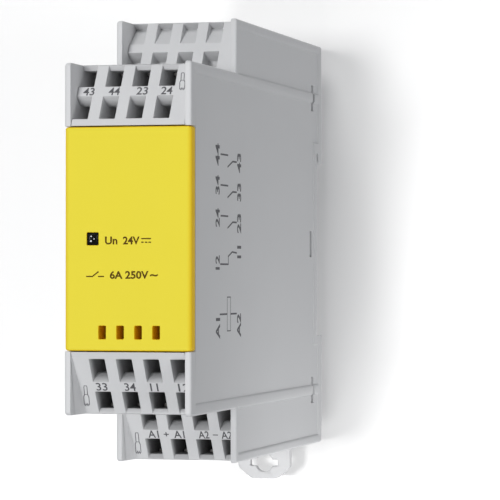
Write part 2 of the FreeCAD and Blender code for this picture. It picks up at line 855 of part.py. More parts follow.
def make_rail_clip_spring():
    """Flat serpentine strip between the tray's peg and the top of the clip's window."""
    body = new_body("rail_clip_spring")
    low = peg_bottom + d.peg_height + d.clip_spring_fit
    high = clip_window_floor + d.clip_window_height - d.clip_spring_fit
    rise = (high - low) / SPRING_FOLDS
    half = d.clip_spring_width / 2
    path = []
    for fold in range(SPRING_FOLDS + 1):
        near, far = (half, -half) if fold % 2 else (-half, half)
        path.append((near, low + rise * fold))
        path.append((far, low + rise * fold))
    sketch = new_sketch(body, "y", d.clip_front + (d.clip_thickness - d.clip_spring_depth) / 2)
    bent_strip(sketch, path, d.clip_spring_strip)
    raise_sketch(body, sketch, "y", d.clip_spring_depth)
    return body


# Circuit board


def contact_z(index):
    """Height of a moving contact's leaf."""
    return d.first_contact_z + d.contact_pitch * index


def fixed_z(index):
    """Height of the middle of a fixed contact's strip, above the leaf for the last, closed pair."""
    stack = (d.leaf_thickness + d.fixed_thickness) / 2 + d.button_height * 2
    if index == len(PAIRS) - 1:
        return contact_z(index) + stack + d.closed_gap
    return contact_z(index) - stack - d.contact_gap


PAIRS = [("23", "24"), ("33", "34"), ("43", "44"), ("11", "12")]
base_top = board_back + d.base_thickness
case_half_x = d.relay_width / 2 - d.cap_wall - d.case_fit
case_half_z = d.relay_length / 2 - d.cap_wall - d.case_fit
yoke_front = base_top + d.magnet_fit
yoke_back = yoke_front + d.yoke_thickness
yoke_foot = -case_half_z + d.yoke_inset
yoke_shelf = yoke_foot + d.yoke_thickness
coil_y = yoke_back + d.bobbin_gap + d.bobbin_size / 2
pole_top = -d.armature_z - d.pole_gap
bobbin_low = yoke_shelf + d.magnet_fit
bobbin_high = pole_top - d.pole_thickness - d.magnet_fit
coil_pin_z = bobbin_low + d.bobbin_flange / 2
comb_back = board_back + d.relay_height - d.cap_wall - d.comb_inset + d.comb_thickness / 2
comb_front = comb_back - d.comb_thickness
tail_end = board_front - d.pin_proud


def pin_slot(x, z, section, play):
    """Outline of a slot round a pin or tail of this section."""
    half_x = section[0] / 2 + play
    half_z = section[1] / 2 + play
    return box_points((x - half_x, z - half_z), (x + half_x, z + half_z))


def make_circuit_board():
    """Board across the tray, slotted for the terminal bars, the contacts and the coil."""
    body = new_body("circuit_board")
    half_x = inner_x - d.board_edge
    half_z = front_top - d.skin - d.board_edge
    slab(body, "y", board_front, board_back, box_points((-half_x, -half_z), (half_x, half_z)))
    pin_z = front_top - d.pin_drop
    bar_pin = (d.pin_width, d.bar_thickness)
    coil_pin = (d.coil_pin_size, d.coil_pin_size)
    pins = []
    for index in range(CHAMBERS):
        pins.append((chamber_x(index), pin_z, bar_pin))
        pins.append((-chamber_x(index), -pin_z, bar_pin))
        pins.append((-chamber_x(index), d.supply_drop - rear_top, bar_pin))
    for index in range(len(PAIRS)):
        pins.append((-d.tail_shift, contact_z(index), (d.tail_width, d.leaf_thickness)))
        pins.append((d.tail_shift, fixed_z(index), (d.tail_width, d.fixed_thickness)))
    pins.append((d.coil_pin_x, coil_pin_z, coil_pin))
    pins.append((-d.coil_pin_x, coil_pin_z, coil_pin))
    sketch = new_sketch(body, "y", board_front)
    for x, z, section in pins:
        outline(sketch, pin_slot(x, z, section, d.pin_slot_play))
    sink_sketch(body, sketch, "y", d.board_thickness)
    return body


def board_chip(name, middle, size):
    """A small moulded component that lies on the board's front face."""
    body = new_body(name)
    half_x, half_z = size[0] / 2, size[1] / 2
    x, z = middle
    top = board_front - size[2]
    slab(body, "y", top, board_front, box_points((x - half_x, z - half_z), (x + half_x, z + half_z)))
    bevel_edges(body, {"z": [(x - half_x, top), (x + half_x, top)]}, d.chip_edge)
    return body


def make_board_parts():
    """Indicator, its light guide, the suppressor diode and the indicator's resistor."""
    board_chip("led", (-lens_x, as_size(0)), (d.led_width, d.led_width, d.led_height))
    beside = d.led_width - lens_x + d.resistor_width
    board_chip("resistor", (beside, as_size(0)), (d.resistor_width, d.resistor_length, d.resistor_height))
    board_chip("diode", (lens_x, as_size(0)), (d.diode_width, d.diode_length, d.diode_height))
    body = new_body("light_guide")
    half_x, half_z = d.lens_width / 2, d.lens_height / 2
    slab(body, "y", front_y + d.seam, board_front - d.led_height - d.led_gap,
         box_points((-lens_x - half_x, -half_z), (half_x - lens_x, half_z)))


# Relay


def make_relay_case():
    """Base plate on the board and the cap over it."""
    base = new_body("relay_base")
    slab(base, "y", board_back, base_top, box_points((-case_half_x, -case_half_z),
                                                     (case_half_x, case_half_z)))
    for index in range(len(PAIRS)):
        for x, z, thickness in [(-d.tail_shift, contact_z(index), d.leaf_thickness),
                                (d.tail_shift, fixed_z(index), d.fixed_thickness)]:
            cut(base, "y", board_back, base_top, pin_slot(x, z, (d.tail_width, thickness), d.tail_play))
    coil_pin = (d.coil_pin_size, d.coil_pin_size)
    for x in (d.coil_pin_x, -d.coil_pin_x):
        cut(base, "y", board_back, base_top, pin_slot(x, coil_pin_z, coil_pin, d.magnet_fit))
    cap = new_body("relay_cap")
    half_x, half_z = d.relay_width / 2, d.relay_length / 2
    cap_end = board_back + d.relay_height
    slab(cap, "y", board_back, cap_end, box_points((-half_x, -half_z), (half_x, half_z)))
    round_edges(cap, "y", [(-half_x, -half_z), (half_x, -half_z), (half_x, half_z), (-half_x, half_z)],
                d.cap_round)
    room_x, room_z = half_x - d.cap_wall, half_z - d.cap_wall
    cut(cap, "y", board_back, cap_end - d.cap_wall, box_points((-room_x, -room_z), (room_x, room_z)))


def make_coil():
    """Bobbin, winding, core, pins and the yoke they stand on."""
    bobbin = new_body("coil_bobbin")
    half = d.bobbin_size / 2
    bore = d.core_radius + d.magnet_fit
    tube = bore + d.bobbin_tube
    square = box_points((-half, coil_y - half), (half, coil_y + half))
    slab(bobbin, "z", bobbin_low, bobbin_low + d.bobbin_flange, square)
    peg(bobbin, "z", bobbin_low + d.bobbin_flange, bobbin_high - d.bobbin_flange, (0, coil_y), tube)
    slab(bobbin, "z", bobbin_high - d.bobbin_flange, bobbin_high, square)
    holes(bobbin, "z", bobbin_low, bobbin_high, [(0, coil_y)], bore)
    pin_start = coil_y - half
    pin_stop = pin_start + d.coil_pin_reach
    coil_pin = (d.coil_pin_size, d.coil_pin_size)
    for x in (d.coil_pin_x, -d.coil_pin_x):
        cut(bobbin, "y", pin_start, pin_stop, pin_slot(x, coil_pin_z, coil_pin, d.magnet_fit))

    winding = new_body("coil_winding")
    low = bobbin_low + d.bobbin_flange + d.magnet_fit
    high = bobbin_high - d.bobbin_flange - d.magnet_fit
    peg(winding, "z", low, high, (0, coil_y), d.winding_radius)
    holes(winding, "z", low, high, [(0, coil_y)], tube + d.magnet_fit)

    core = new_body("coil_core")
    peg(core, "z", yoke_foot, pole_top - d.pole_thickness, (0, coil_y), d.core_radius)
    peg(core, "z", pole_top - d.pole_thickness, pole_top, (0, coil_y), d.pole_radius)

    yoke = new_body("yoke")
    yoke_half = d.yoke_width / 2
    yoke_top = -d.armature_z - d.hinge_gap
    foot_end = coil_y + half
    slab(yoke, "x", -yoke_half, yoke_half, [
        (yoke_front, yoke_foot), (foot_end, yoke_foot), (foot_end, yoke_shelf), (yoke_back, yoke_shelf),
        (yoke_back, yoke_top), (yoke_front, yoke_top),
    ])
    holes(yoke, "z", yoke_foot, yoke_shelf, [(0, coil_y)], d.core_radius + d.magnet_fit)

    pins = new_body("coil_pins")
    pins.AllowCompound = True
    for x in (d.coil_pin_x, -d.coil_pin_x):
        slab(pins, "y", tail_end, pin_stop - d.magnet_fit, pin_slot(x, coil_pin_z, coil_pin, as_size(0)))


def make_armature():
    """Hinged plate over the pole with an arm that reaches through the comb."""
    body = new_body("armature")
    plate_end = yoke_front + d.armature_plate
    arm_end = comb_back + d.comb_thickness / 2
    half, arm_half = d.armature_width / 2, d.arm_width / 2
    slab(body, "z", -d.armature_z, d.armature_thickness - d.armature_z, [
        (-half, yoke_front), (half, yoke_front), (half, plate_end), (arm_half, plate_end),
        (arm_half, arm_end), (-arm_half, arm_end), (-arm_half, plate_end), (-half, plate_end),
    ])
    return body


def make_actuator_comb():
    """Force-guiding card: one window for the armature's arm and one for each moving contact."""
    body = new_body("actuator_comb")
    half = d.comb_width / 2
    low = -d.armature_z - d.comb_margin
    high = contact_z(len(PAIRS) - 1) + d.comb_margin
    slab(body, "y", comb_front, comb_back, box_points((-half, low), (half, high)))
    arm_half = d.arm_width / 2 + d.comb_play
    cut(body, "y", comb_front, comb_back, box_points(
        (-arm_half, -d.armature_z - d.comb_play),
        (arm_half, d.armature_thickness - d.armature_z + d.comb_play)))
    leaf_half = d.leaf_width / 2 + d.comb_play
    for index in range(len(PAIRS)):
        rise = d.leaf_thickness / 2 + d.comb_play
        cut(body, "y", comb_front, comb_back, box_points(
            (-leaf_half, contact_z(index) - rise), (leaf_half, contact_z(index) + rise)))
    return body


def contact_strip(name, z, thickness, end, tail_x):
    """Flat contact strip with a tail through the base and the board."""
    body = new_body(name)
    half = d.leaf_width / 2
    root = base_top + d.magnet_fit
    left, right = tail_x - d.tail_width / 2, tail_x + d.tail_width / 2
    slab(body, "z", z - thickness / 2, z + thickness / 2, [
        (-half, root), (left, root), (left, tail_end), (right, tail_end), (right, root), (half, root),
        (half, end), (-half, end),
    ])
    return body


def make_contacts():
    """Three normally open pairs and, last, one normally closed pair."""
    button_y = comb_front - d.button_inset
    for index, (moving_name, fixed_name) in enumerate(PAIRS):
        closed = index == len(PAIRS) - 1
        leaf_z, strip_z = contact_z(index), fixed_z(index)
        leaf_end = comb_back + d.comb_thickness / 2
        moving = contact_strip("moving_contact_" + moving_name, leaf_z, d.leaf_thickness, leaf_end,
                               -d.tail_shift)
        fixed = contact_strip("fixed_contact_" + fixed_name, strip_z, d.fixed_thickness,
                              button_y + d.fixed_overhang, d.tail_shift)
        leaf_half, strip_half = d.leaf_thickness / 2, d.fixed_thickness / 2
        if closed:
            peg(moving, "z", leaf_z + leaf_half, leaf_z + leaf_half + d.button_height,
                (0, button_y), d.button_radius)
            peg(fixed, "z", strip_z - strip_half - d.button_height, strip_z - strip_half,
                (0, button_y), d.button_radius)
        else:
            peg(moving, "z", leaf_z - leaf_half - d.button_height, leaf_z - leaf_half,
                (0, button_y), d.button_radius)
            peg(fixed, "z", strip_z + strip_half, strip_z + strip_half + d.button_height,
                (0, button_y), d.button_radius)


# Terminals of each used block, in the order of its chambers
TERMINALS = [
    ("top", "front", ["43", "44", "23", "24"]),
    ("bottom", "front", ["12", "11", "34", "33"]),
    ("bottom", "rear", ["a2_right", "a2_left", "a1_right", "a1_left"]),
]


def make_terminals():
    """Every block with the clamps of its terminals."""
    for side, tier, names in TERMINALS:
        make_terminal_block(side, tier)
        for index, name in enumerate(names):
            make_terminal_spring(name, index, side, tier)
            make_current_bar(name, index, side, tier)
    make_blank_block("top", "rear")


def check_document():
    """Stop if any object failed or any sub-part isn't a valid solid."""
    doc.recompute()
    for item in doc.Objects:
        if "Invalid" in item.State or "Error" in item.State:
            raise ValueError("%s failed: %s" % (item.Label, item.State))
    for body in bodies:
        shape = body.Shape
        if shape.isNull() or not shape.isValid() or not shape.Solids:
            raise ValueError("%s isn't a valid solid" % body.Label)


def write_parts():
    """Write each sub-part to its own file."""
    os.makedirs("parts", exist_ok=True)
    for body in bodies:
        body.Shape.exportStep(os.path.join("parts", body.Label + ".step"))


make_housing_body()
make_side_cover()
make_front_cover()
make_terminals()
make_rail_clip()
make_rail_clip_spring()
make_circuit_board()
make_board_parts()
make_relay_case()
make_coil()
make_armature()
make_actuator_comb()
make_contacts()
check_document()
write_parts()
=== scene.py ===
"""Finishes, printed marks and a plain stage for a slim force-guided relay module on a mounting rail."""

import json
import math

import bmesh
import bpy
from bpy.props import FloatProperty, FloatVectorProperty, PointerProperty
from mathutils import Matrix, Vector

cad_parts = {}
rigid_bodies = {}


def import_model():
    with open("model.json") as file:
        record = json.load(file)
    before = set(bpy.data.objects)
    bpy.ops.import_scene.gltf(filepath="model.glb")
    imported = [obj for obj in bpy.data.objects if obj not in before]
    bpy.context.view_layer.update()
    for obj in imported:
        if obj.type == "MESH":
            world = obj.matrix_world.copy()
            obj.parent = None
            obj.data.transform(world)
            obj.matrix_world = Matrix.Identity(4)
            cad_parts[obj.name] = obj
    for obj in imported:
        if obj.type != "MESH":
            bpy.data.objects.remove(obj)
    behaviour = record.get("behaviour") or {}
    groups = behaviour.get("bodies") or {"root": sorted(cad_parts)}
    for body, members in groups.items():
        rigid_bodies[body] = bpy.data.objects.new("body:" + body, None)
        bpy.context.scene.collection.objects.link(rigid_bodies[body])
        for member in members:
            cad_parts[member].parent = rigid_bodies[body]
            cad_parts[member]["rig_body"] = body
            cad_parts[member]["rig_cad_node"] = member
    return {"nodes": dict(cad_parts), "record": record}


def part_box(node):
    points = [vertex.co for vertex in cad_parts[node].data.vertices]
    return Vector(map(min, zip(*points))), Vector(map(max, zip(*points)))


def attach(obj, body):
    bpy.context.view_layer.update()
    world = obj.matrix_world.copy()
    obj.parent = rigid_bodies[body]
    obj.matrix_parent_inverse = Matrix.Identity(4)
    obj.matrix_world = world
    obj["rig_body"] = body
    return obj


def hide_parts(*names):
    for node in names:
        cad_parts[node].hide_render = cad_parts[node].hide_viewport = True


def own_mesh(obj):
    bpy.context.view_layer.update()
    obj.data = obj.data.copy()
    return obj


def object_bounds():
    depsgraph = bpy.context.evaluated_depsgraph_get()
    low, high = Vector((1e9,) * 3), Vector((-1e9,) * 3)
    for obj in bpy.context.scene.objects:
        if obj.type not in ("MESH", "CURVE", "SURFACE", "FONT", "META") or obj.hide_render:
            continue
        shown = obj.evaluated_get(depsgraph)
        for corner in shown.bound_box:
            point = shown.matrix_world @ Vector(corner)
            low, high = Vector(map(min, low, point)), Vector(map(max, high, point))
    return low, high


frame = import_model()

bl_info = {
    "name": "Relay Module Dressing",
    "version": (1, 0, 0),
    "blender": (4, 5, 0),
    "location": "View3D > Sidebar > Relay",
    "description": "Rounds the relay module's mouldings and adds finishes, printed marks and a stage",
    "category": "Object",
}

MM = 0.001
# Points nearer to each other than this are one point
TOUCHING = 0.001 * MM
MODULE = "module"
SOLID_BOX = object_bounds()
SLOT_OF = {part["node"]: part["material_slot"] for part in frame["record"]["subparts"]}
BODY_OF = {node: body for body, nodes in frame["record"]["behaviour"]["bodies"].items() for node in nodes}


def daylight(red, green, blue):
    """A colour picked on screen, in linear light."""
    shares = [value / 255 for value in (red, green, blue)]
    return tuple(s / 12.92 if s <= 0.04045 else ((s + 0.055) / 1.055) ** 2.4 for s in shares)


def shade(colour, factor):
    """The same colour, darker or paler."""
    return tuple(min(1.0, part * factor) for part in colour)


def length(name, description, millimetres):
    """A length that can be set in the sidebar."""
    return FloatProperty(
        name=name, description=description, default=millimetres * MM, precision=5, unit="LENGTH"
    )


def angle(name, description, degrees):
    """An angle that can be set in the sidebar."""
    return FloatProperty(
        name=name, description=description, default=math.radians(degrees), subtype="ANGLE", unit="ROTATION"
    )


def level(name, description, amount):
    """A plain number that can be set in the sidebar."""
    return FloatProperty(name=name, description=description, default=amount, precision=4)


def position(name, description, metres):
    """A place that can be set in the sidebar."""
    return FloatVectorProperty(
        name=name, description=description, size=3, default=metres, precision=4,
        subtype="TRANSLATION", unit="LENGTH",
    )


def tint(name, description, colour):
    """A colour that can be set in the sidebar."""
    return FloatVectorProperty(
        name=name, description=description, subtype="COLOR", size=3, min=0.0, max=1.0, default=colour
    )


class RELAY_PG_case(bpy.types.PropertyGroup):
    """Edges and colours of the mouldings."""

    wall_edge: length("Wall edge", "Round along the edges of the tray and the side wall", 0.12)
    plate_edge: length("Plate edge", "Round along the edges of the yellow front plate", 0.14)
    block_edge: length("Block edge", "Round along the edges of the terminal blocks", 0.10)
    latch_edge: length("Latch edge", "Round along the edges of the rail latch", 0.18)
    spring_edge: length("Spring edge", "Round along the edges of the latch's spring", 0.06)
    lens_edge: length("Lens edge", "Round along the edges of the indicator lens", 0.16)
    grey: tint("Housing grey", "Colour of the tray, side wall and terminal blocks", (0.665, 0.668, 0.675))
    yellow: tint("Plate yellow", "Colour of the front plate", (0.79, 0.67, 0.042))
    # Painted shade: a deeper orange laid on the plate's faces turned away from the front, its edges and
    # slots
    yellow_painted_shade: tint("Flank yellow", "Deeper colour of the plate's edges and slots", (0.91, 0.58, 0.006))
    latch_grey: tint("Latch grey", "Colour of the rail latch", (0.66, 0.66, 0.665))
    lens: tint("Lens colour", "Colour of the unlit indicator", (0.003, 0.003, 0.003))


class RELAY_PG_marks(bpy.types.PropertyGroup):
    """Sizes and colours of the printed marks."""

    ink: length("Ink height", "How far the ink stands on the plastic", 0.016)
    diagram_line: length("Diagram line", "Width of the lines of the wiring diagram", 0.30)
    coil_line: length("Coil line", "Width of the outline of the coil in the wiring diagram", 0.18)
    symbol_line: length("Symbol line", "Width of the lines of the marks on the front plate", 0.21)
    icon_line: length("Icon line", "Width of the outlines of the wire marks", 0.14)
    number_width: length("Number width", "Width of a two-digit terminal number", 2.0)
    number_height: length("Number height", "Height of a terminal number along its face", 1.62)
    diagram_number: length("Diagram number", "Height of the numbers in the wiring diagram", 2.75)
    side_recess: length("Side recess", "Depth of the framed panel in the side wall", 0.35)
    grey_ink: tint("Grey ink", "Colour of the terminal numbers and the diagram", daylight(92, 92, 95))
    brown_ink: tint("Brown ink", "Colour of the marks burnt into the front plate", daylight(84, 62, 10))


class RELAY_PG_stage(bpy.types.PropertyGroup):
    """Camera, light and backdrop."""

    focal: level("Focal length", "Lens of the camera in millimetres", 205.92)
    eye: position("Camera place", "Where the camera stands", (0.1411, -0.5592, -0.0059))
    turn: FloatVectorProperty(
        name="Camera turn", description="How the camera is turned", size=3,
        default=(math.radians(90.47), 0.0, math.radians(14.41)), subtype="EULER", unit="ROTATION",
    )
    light_side: angle("Light side", "How far the row of lamps in front stands to the left", 8.0)
    middle_spread: angle("Middle spread", "Angle that the middle lamp fills", 9.0)
    outer_spread: angle("Outer spread", "Angle that the lamps fill, apart from the middle one", 22.0)
    upper_rise: angle("Upper lamp rise", "How far the upper lamp stands above the module", 46.0)
    lower_rise: angle("Lower lamp rise", "How far the lower lamp stands above the module", -36.0)
    upper_power: level("Upper lamp", "Strength of the upper lamp", 0.84)
    middle_power: level("Middle lamp", "Strength of the middle lamp", 1.10)
    lower_power: level("Lower lamp", "Strength of the lower lamp", 0.62)
    right_side: angle("Right lamp side", "How far the lamp for the side wall stands to the right", 70.0)
    right_rise: angle("Right lamp rise", "How far the lamp for the side wall stands above it", -10.0)
    right_power: level("Right lamp", "Strength of the lamp for the side wall", 0.54)
    rear_side: angle("Rear lamp side", "How far the lamp behind the module stands to the left", 140.0)
    rear_rise: angle("Rear lamp rise", "How far the lamp behind the module stands above it", 40.0)
    rear_power: level("Rear lamp", "Strength of the lamp behind the module", 1.0)
    panel_place: position(
        "Side panel place", "Where the side panel stands, from the lower right corner at the rear",
        (0.045, -0.030, -0.045),
    )
    panel_size: length("Side panel size", "Width of the side panel", 60.0)
    panel_power: level("Side panel", "Strength of the side panel", 0.030)
    room: tint("Room light", "Light that comes from all round", (0.275, 0.282, 0.294))
    backdrop: tint("Backdrop", "Colour of the floor and the wall behind", (0.985, 0.98, 0.972))
    wall_gap: length("Wall gap", "Gap between the module and the wall behind it", 6.0)
    floor_glow: level("Floor glow", "Light of the floor itself, for the camera", 0.70)


class Value:
    """A shader socket that can be used in sums and products."""

    def __init__(self, finish, socket):
        self.finish = finish
        self.socket = socket

    def join(self, operation, first, second):
        """The outcome of a sum with two values."""
        return self.finish.node("ShaderNodeMath", {"operation": operation}, {0: first, 1: second})

    def __add__(self, other):
        return self.join("ADD", self, other)

    def __radd__(self, other):
        return self.join("ADD", other, self)

    def __sub__(self, other):
        return self.join("SUBTRACT", self, other)

    def __rsub__(self, other):
        return self.join("SUBTRACT", other, self)

    def __mul__(self, other):
        return self.join("MULTIPLY", self, other)

    def __rmul__(self, other):
        return self.join("MULTIPLY", other, self)


class NodeSheet:
    """A sheet of shader nodes being put together."""

    def __init__(self, tree):
        self.tree = tree
        self.tree.nodes.clear()

    def node(self, kind, settings=None, values=None, output=0):
        """Add a node with its settings, then its values and links, and give one of its outputs."""
        node = self.tree.nodes.new(kind)
        for key, setting in (settings or {}).items():
            if key == "stops":
                ramp = node.color_ramp.elements
                while len(ramp) < len(setting):
                    ramp.new(0.5)
                for element, (place, colour) in zip(ramp, setting):
                    element.position = place
                    element.color = (*colour, 1.0)
            else:
                setattr(node, key, setting)
        for key, value in (values or {}).items():
            if isinstance(value, Value):
                self.tree.links.new(value.socket, node.inputs[key])
            elif isinstance(value, tuple) and len(value) == 3 and node.inputs[key].type == "RGBA":
                node.inputs[key].default_value = (*value, 1.0)
            else:
                node.inputs[key].default_value = value
        return None if output is None else Value(self, node.outputs[output])

    def mix(self, factor, first, second):
        """One colour laid over another."""
        return self.node("ShaderNodeMix", {"data_type": "RGBA"}, {0: factor, 6: first, 7: second}, 2)


class Finish(NodeSheet):
    """A procedural material being put together."""

    def __init__(self, name):
        self.material = bpy.data.materials.new(name)
        self.material.use_nodes = True
        super().__init__(self.material.node_tree)

    def place(self, stretch=(1.0, 1.0, 1.0)):
        """Object coordinates, stretched along the axes."""
        spot = self.node("ShaderNodeTexCoord", output="Object")
        return self.node("ShaderNodeMapping", {}, {"Vector": spot, "Scale": stretch}, "Vector")

    def noise(self, scale, detail=2.0, stretch=(1.0, 1.0, 1.0)):
        """Cloudy pattern from 0 to 1."""
        values = {"Vector": self.place(stretch), "Scale": scale, "Detail": detail, "Roughness": 0.55}
        return self.node("ShaderNodeTexNoise", {}, values, "Fac")

    def bands(self, scale, direction, wobble=0.0):
        """Parallel bands along one axis, from 0 to 1."""
        settings = {"wave_type": "BANDS", "bands_direction": direction}
        values = {"Vector": self.place(), "Scale": scale, "Distortion": wobble, "Detail": 1.0}
        return self.node("ShaderNodeTexWave", settings, values, "Fac")

    def turned(self, axis, towards):
        """1 on a face that looks along an axis and 0 on the faces across it, or the other way round."""
        normal = self.node("ShaderNodeNewGeometry", output="Normal")
        along = self.node("ShaderNodeSeparateXYZ", {}, {0: normal}, axis)
        return along * along if towards else 1 - along * along

    def steps(self, value, stops):
        """Colours along a ramp."""
        return self.node("ShaderNodeValToRGB", {"stops": stops}, {"Fac": value}, "Color")

    def bump(self, height, strength, depth):
        """A normal that follows a height."""
        values = {"Height": height, "Strength": strength, "Distance": depth}
        return self.node("ShaderNodeBump", {}, values, "Normal")

    def close(self, **values):
        """Finish the material with a surface shader and give it."""
        named = {}
        for key, value in values.items():
            named[key.replace("_", " ").title().replace("Ior", "IOR")] = value
        return self.cover(self.node("ShaderNodeBsdfPrincipled", {}, named, "BSDF"))

    def cover(self, surface):
        """Finish the material with a shader made before and give it."""
        self.node("ShaderNodeOutputMaterial", {}, {"Surface": surface}, None)
        return self.material


def moulded_plastic(name, colour, gloss, grain, edge_painted_shade=None, face=None):
    """Injection-moulded plastic: faint flow clouds, a fine spark-eroded skin and small handling marks.

    Faces turned away from the front may get a deeper colour, painted shade on the plate's edges and slots,
    and the walls of the chambers behind a sloping face get painted shade that darkens with depth.
    """
    finish = Finish(name)
    flow = finish.noise(38.0, 3.0)
    skin = finish.noise(3400.0, 2.0)
    rub = finish.noise(210.0, 4.0, (1.0, 0.35, 1.0))
    clouds = finish.mix(flow, shade(colour, 0.965), shade(colour, 1.03))
    speckled = finish.mix(skin * 0.10, clouds, shade(colour, 0.80))
    if edge_painted_shade:
        # Painted shade: faces turned away from the front get a deeper orange, as the plate's edges look in
        # shade
        speckled = finish.mix(finish.turned("Y", False), speckled, edge_painted_shade)
    if face:
        # Painted shade: the side walls of the chambers are painted darker with their depth behind the face
        painted_chamber_shade = finish.turned("X", True) * face.sunk(finish)
        speckled = finish.mix(painted_chamber_shade, speckled, shade(colour, face.painted_shade_darkest))
    return finish.close(
        base_color=speckled,
        roughness=gloss + 0.10 * (flow - 0.5) + 0.12 * (rub - 0.5),
        specular_ior_level=0.2,
        normal=finish.bump(skin + 0.3 * rub, grain, 0.03 * MM),
    )


def burnt_ink(name, colour):
    """Mark on plastic, a little uneven along its strokes."""
    finish = Finish(name)
    wear = finish.noise(1500.0, 3.0)
    return finish.close(
        base_color=finish.mix(wear, shade(colour, 0.82), shade(colour, 1.25)),
        roughness=0.5 + 0.25 * wear,
        specular_ior_level=0.1,
    )


def rolled_metal(name, colour, gloss, stretch, stain):
    """Rolled or drawn metal with fine lines along its strip and dull patches."""
    finish = Finish(name)
    lines = finish.noise(5200.0, 3.0, stretch)
    patches = finish.noise(260.0, 3.0)
    return finish.close(
        base_color=finish.mix(patches, colour, stain),
        metallic=1.0,
        roughness=gloss + 0.16 * (lines - 0.5) + 0.14 * (patches - 0.5),
        normal=finish.bump(lines, 0.25, 0.01 * MM),
    )


def smoked_lens(name, colour, painted_glints):
    """Dark clear plastic with a polished face, with small pale spots painted into its colour as glints."""
    finish = Finish(name)
    haze = finish.noise(900.0, 2.0)
    painted_glint = 0.0
    # Painted glints: pale spots laid into the lens colour
    for spot, radius in painted_glints:
        ends = {0: finish.place(), 1: spot}
        away = finish.node("ShaderNodeVectorMath", {"operation": "DISTANCE"}, ends, "Value")
        painted_glint = painted_glint + finish.node("ShaderNodeMath", {"operation": "LESS_THAN"}, {0: away, 1: radius})
    return finish.close(
        base_color=finish.mix(painted_glint, finish.mix(haze, colour, shade(colour, 2.4)), (0.75, 0.76, 0.78)),
        roughness=0.10 + 0.08 * haze,
        specular_ior_level=0.03,
    )


def board_laminate(name):
    """Green lacquered circuit board with tracks under the lacquer."""
    finish = Finish(name)
    tracks = finish.bands(520.0, "X", 1.5)
    weave = finish.bands(1900.0, "Z")
    ground = finish.steps(tracks, [(0.42, (0.010, 0.075, 0.030)), (0.55, (0.018, 0.135, 0.052))])
    return finish.close(
        base_color=ground,
        roughness=0.28 + 0.12 * weave,
        normal=finish.bump(tracks + 0.15 * weave, 0.3, 0.03 * MM),
    )


def wound_wire(name):
    """Lacquered copper wire, wound in close turns, with painted shade in the grooves between them."""
    finish = Finish(name)
    turns = finish.bands(1250.0, "Z", 0.25)
    lacquer = finish.noise(420.0, 2.0)
    copper = finish.mix(lacquer, (0.46, 0.13, 0.045), (0.56, 0.19, 0.07))
    return finish.close(
        # Painted shade: the copper is darker in the grooves between the turns
        base_color=finish.mix(1 - turns, copper, (0.16, 0.035, 0.012)),
        metallic=0.6,
        roughness=0.26 + 0.14 * lacquer,
        normal=finish.bump(turns, 0.8, 0.08 * MM),
    )


def clear_resin(name):
    """Water-clear lamp body with a faint haze."""
    finish = Finish(name)
    haze = finish.noise(700.0, 2.0)
    return finish.close(
        base_color=finish.mix(haze, (0.80, 0.84, 0.82), (0.90, 0.92, 0.90)),
        roughness=0.08 + 0.10 * haze,
        transmission_weight=0.7,
        ior=1.5,
    )


# Colour, roughness, run of the fine lines and colour of the patches
METALS = {
    "spring_steel": ((0.34, 0.335, 0.33), 0.52, (1.0, 0.06, 0.06), (0.25, 0.245, 0.24)),
    "tinned_copper": ((0.24, 0.237, 0.234), 0.55, (1.0, 0.1, 1.0), (0.18, 0.177, 0.174)),
    "magnet_iron": ((0.44, 0.44, 0.43), 0.42, (0.3, 1.0, 1.0), (0.34, 0.33, 0.31)),
    "contact_alloy": ((0.72, 0.58, 0.36), 0.32, (1.0, 0.08, 1.0), (0.66, 0.50, 0.30)),
}
INNER_PLASTICS = {
    "chip_black": (0.018, 0.018, 0.019),
    "relay_white": (0.70, 0.69, 0.64),
    "relay_black": (0.022, 0.022, 0.024),
    "comb_white": (0.62, 0.60, 0.53),
}
OTHER_FINISHES = {"coil_wire": wound_wire, "board_green": board_laminate, "led_clear": clear_resin}


def inner_finish(slot):
    """Finish of the pieces inside the case, by material slot."""
    if slot in METALS:
        return rolled_metal(slot, *METALS[slot])
    if slot in OTHER_FINISHES:
        return OTHER_FINISHES[slot](slot)
    return moulded_plastic(slot, INNER_PLASTICS[slot], gloss=0.46, grain=0.10)


def pick(piece):
    """Select one object alone and make it the active one."""
    bpy.ops.object.select_all(action="DESELECT")
    piece.select_set(True)
    bpy.context.view_layer.objects.active = piece


def open_mesh(piece):
    """Start shaping a piece, with all of it selected."""
    pick(piece)
    bpy.ops.object.mode_set(mode="EDIT")
    bpy.ops.mesh.select_all(action="SELECT")


def close_mesh():
    """Stop shaping a piece."""
    bpy.ops.object.mode_set(mode="OBJECT")


def select_faces(piece, wanted):
    """Select the faces of the open mesh that pass a test."""
    mesh = bmesh.from_edit_mesh(piece.data)
    for face in mesh.faces:
        face.select_set(False)
    for face in mesh.faces:
        if wanted(face):
            face.select_set(True)
    bmesh.update_edit_mesh(piece.data)


def select_points(piece, wanted):
    """Select the points of the open mesh that pass a test."""
    mesh = bmesh.from_edit_mesh(piece.data)
    for vertex in mesh.verts:
        vertex.select_set(wanted(vertex.co))
    mesh.select_flush_mode()
    bmesh.update_edit_mesh(piece.data)


def apply_modifier(piece, kind, **settings):
    """Put a modifier on a piece and apply it."""
    pick(piece)
    bpy.ops.object.modifier_add(type=kind)
    modifier = piece.modifiers[-1]
    for key, setting in settings.items():
        setattr(modifier, key, setting)
    bpy.ops.object.modifier_apply(modifier=modifier.name)


def settle(piece, name, material, body=MODULE, stands_for=None):
    """Name a piece, give it its finish and let it ride on its body."""
    piece.name = name
    piece.data.name = name
    piece.data.materials.clear()
    piece.data.materials.append(material)
    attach(piece, body)
    if stands_for:
        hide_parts(stands_for)
    return piece


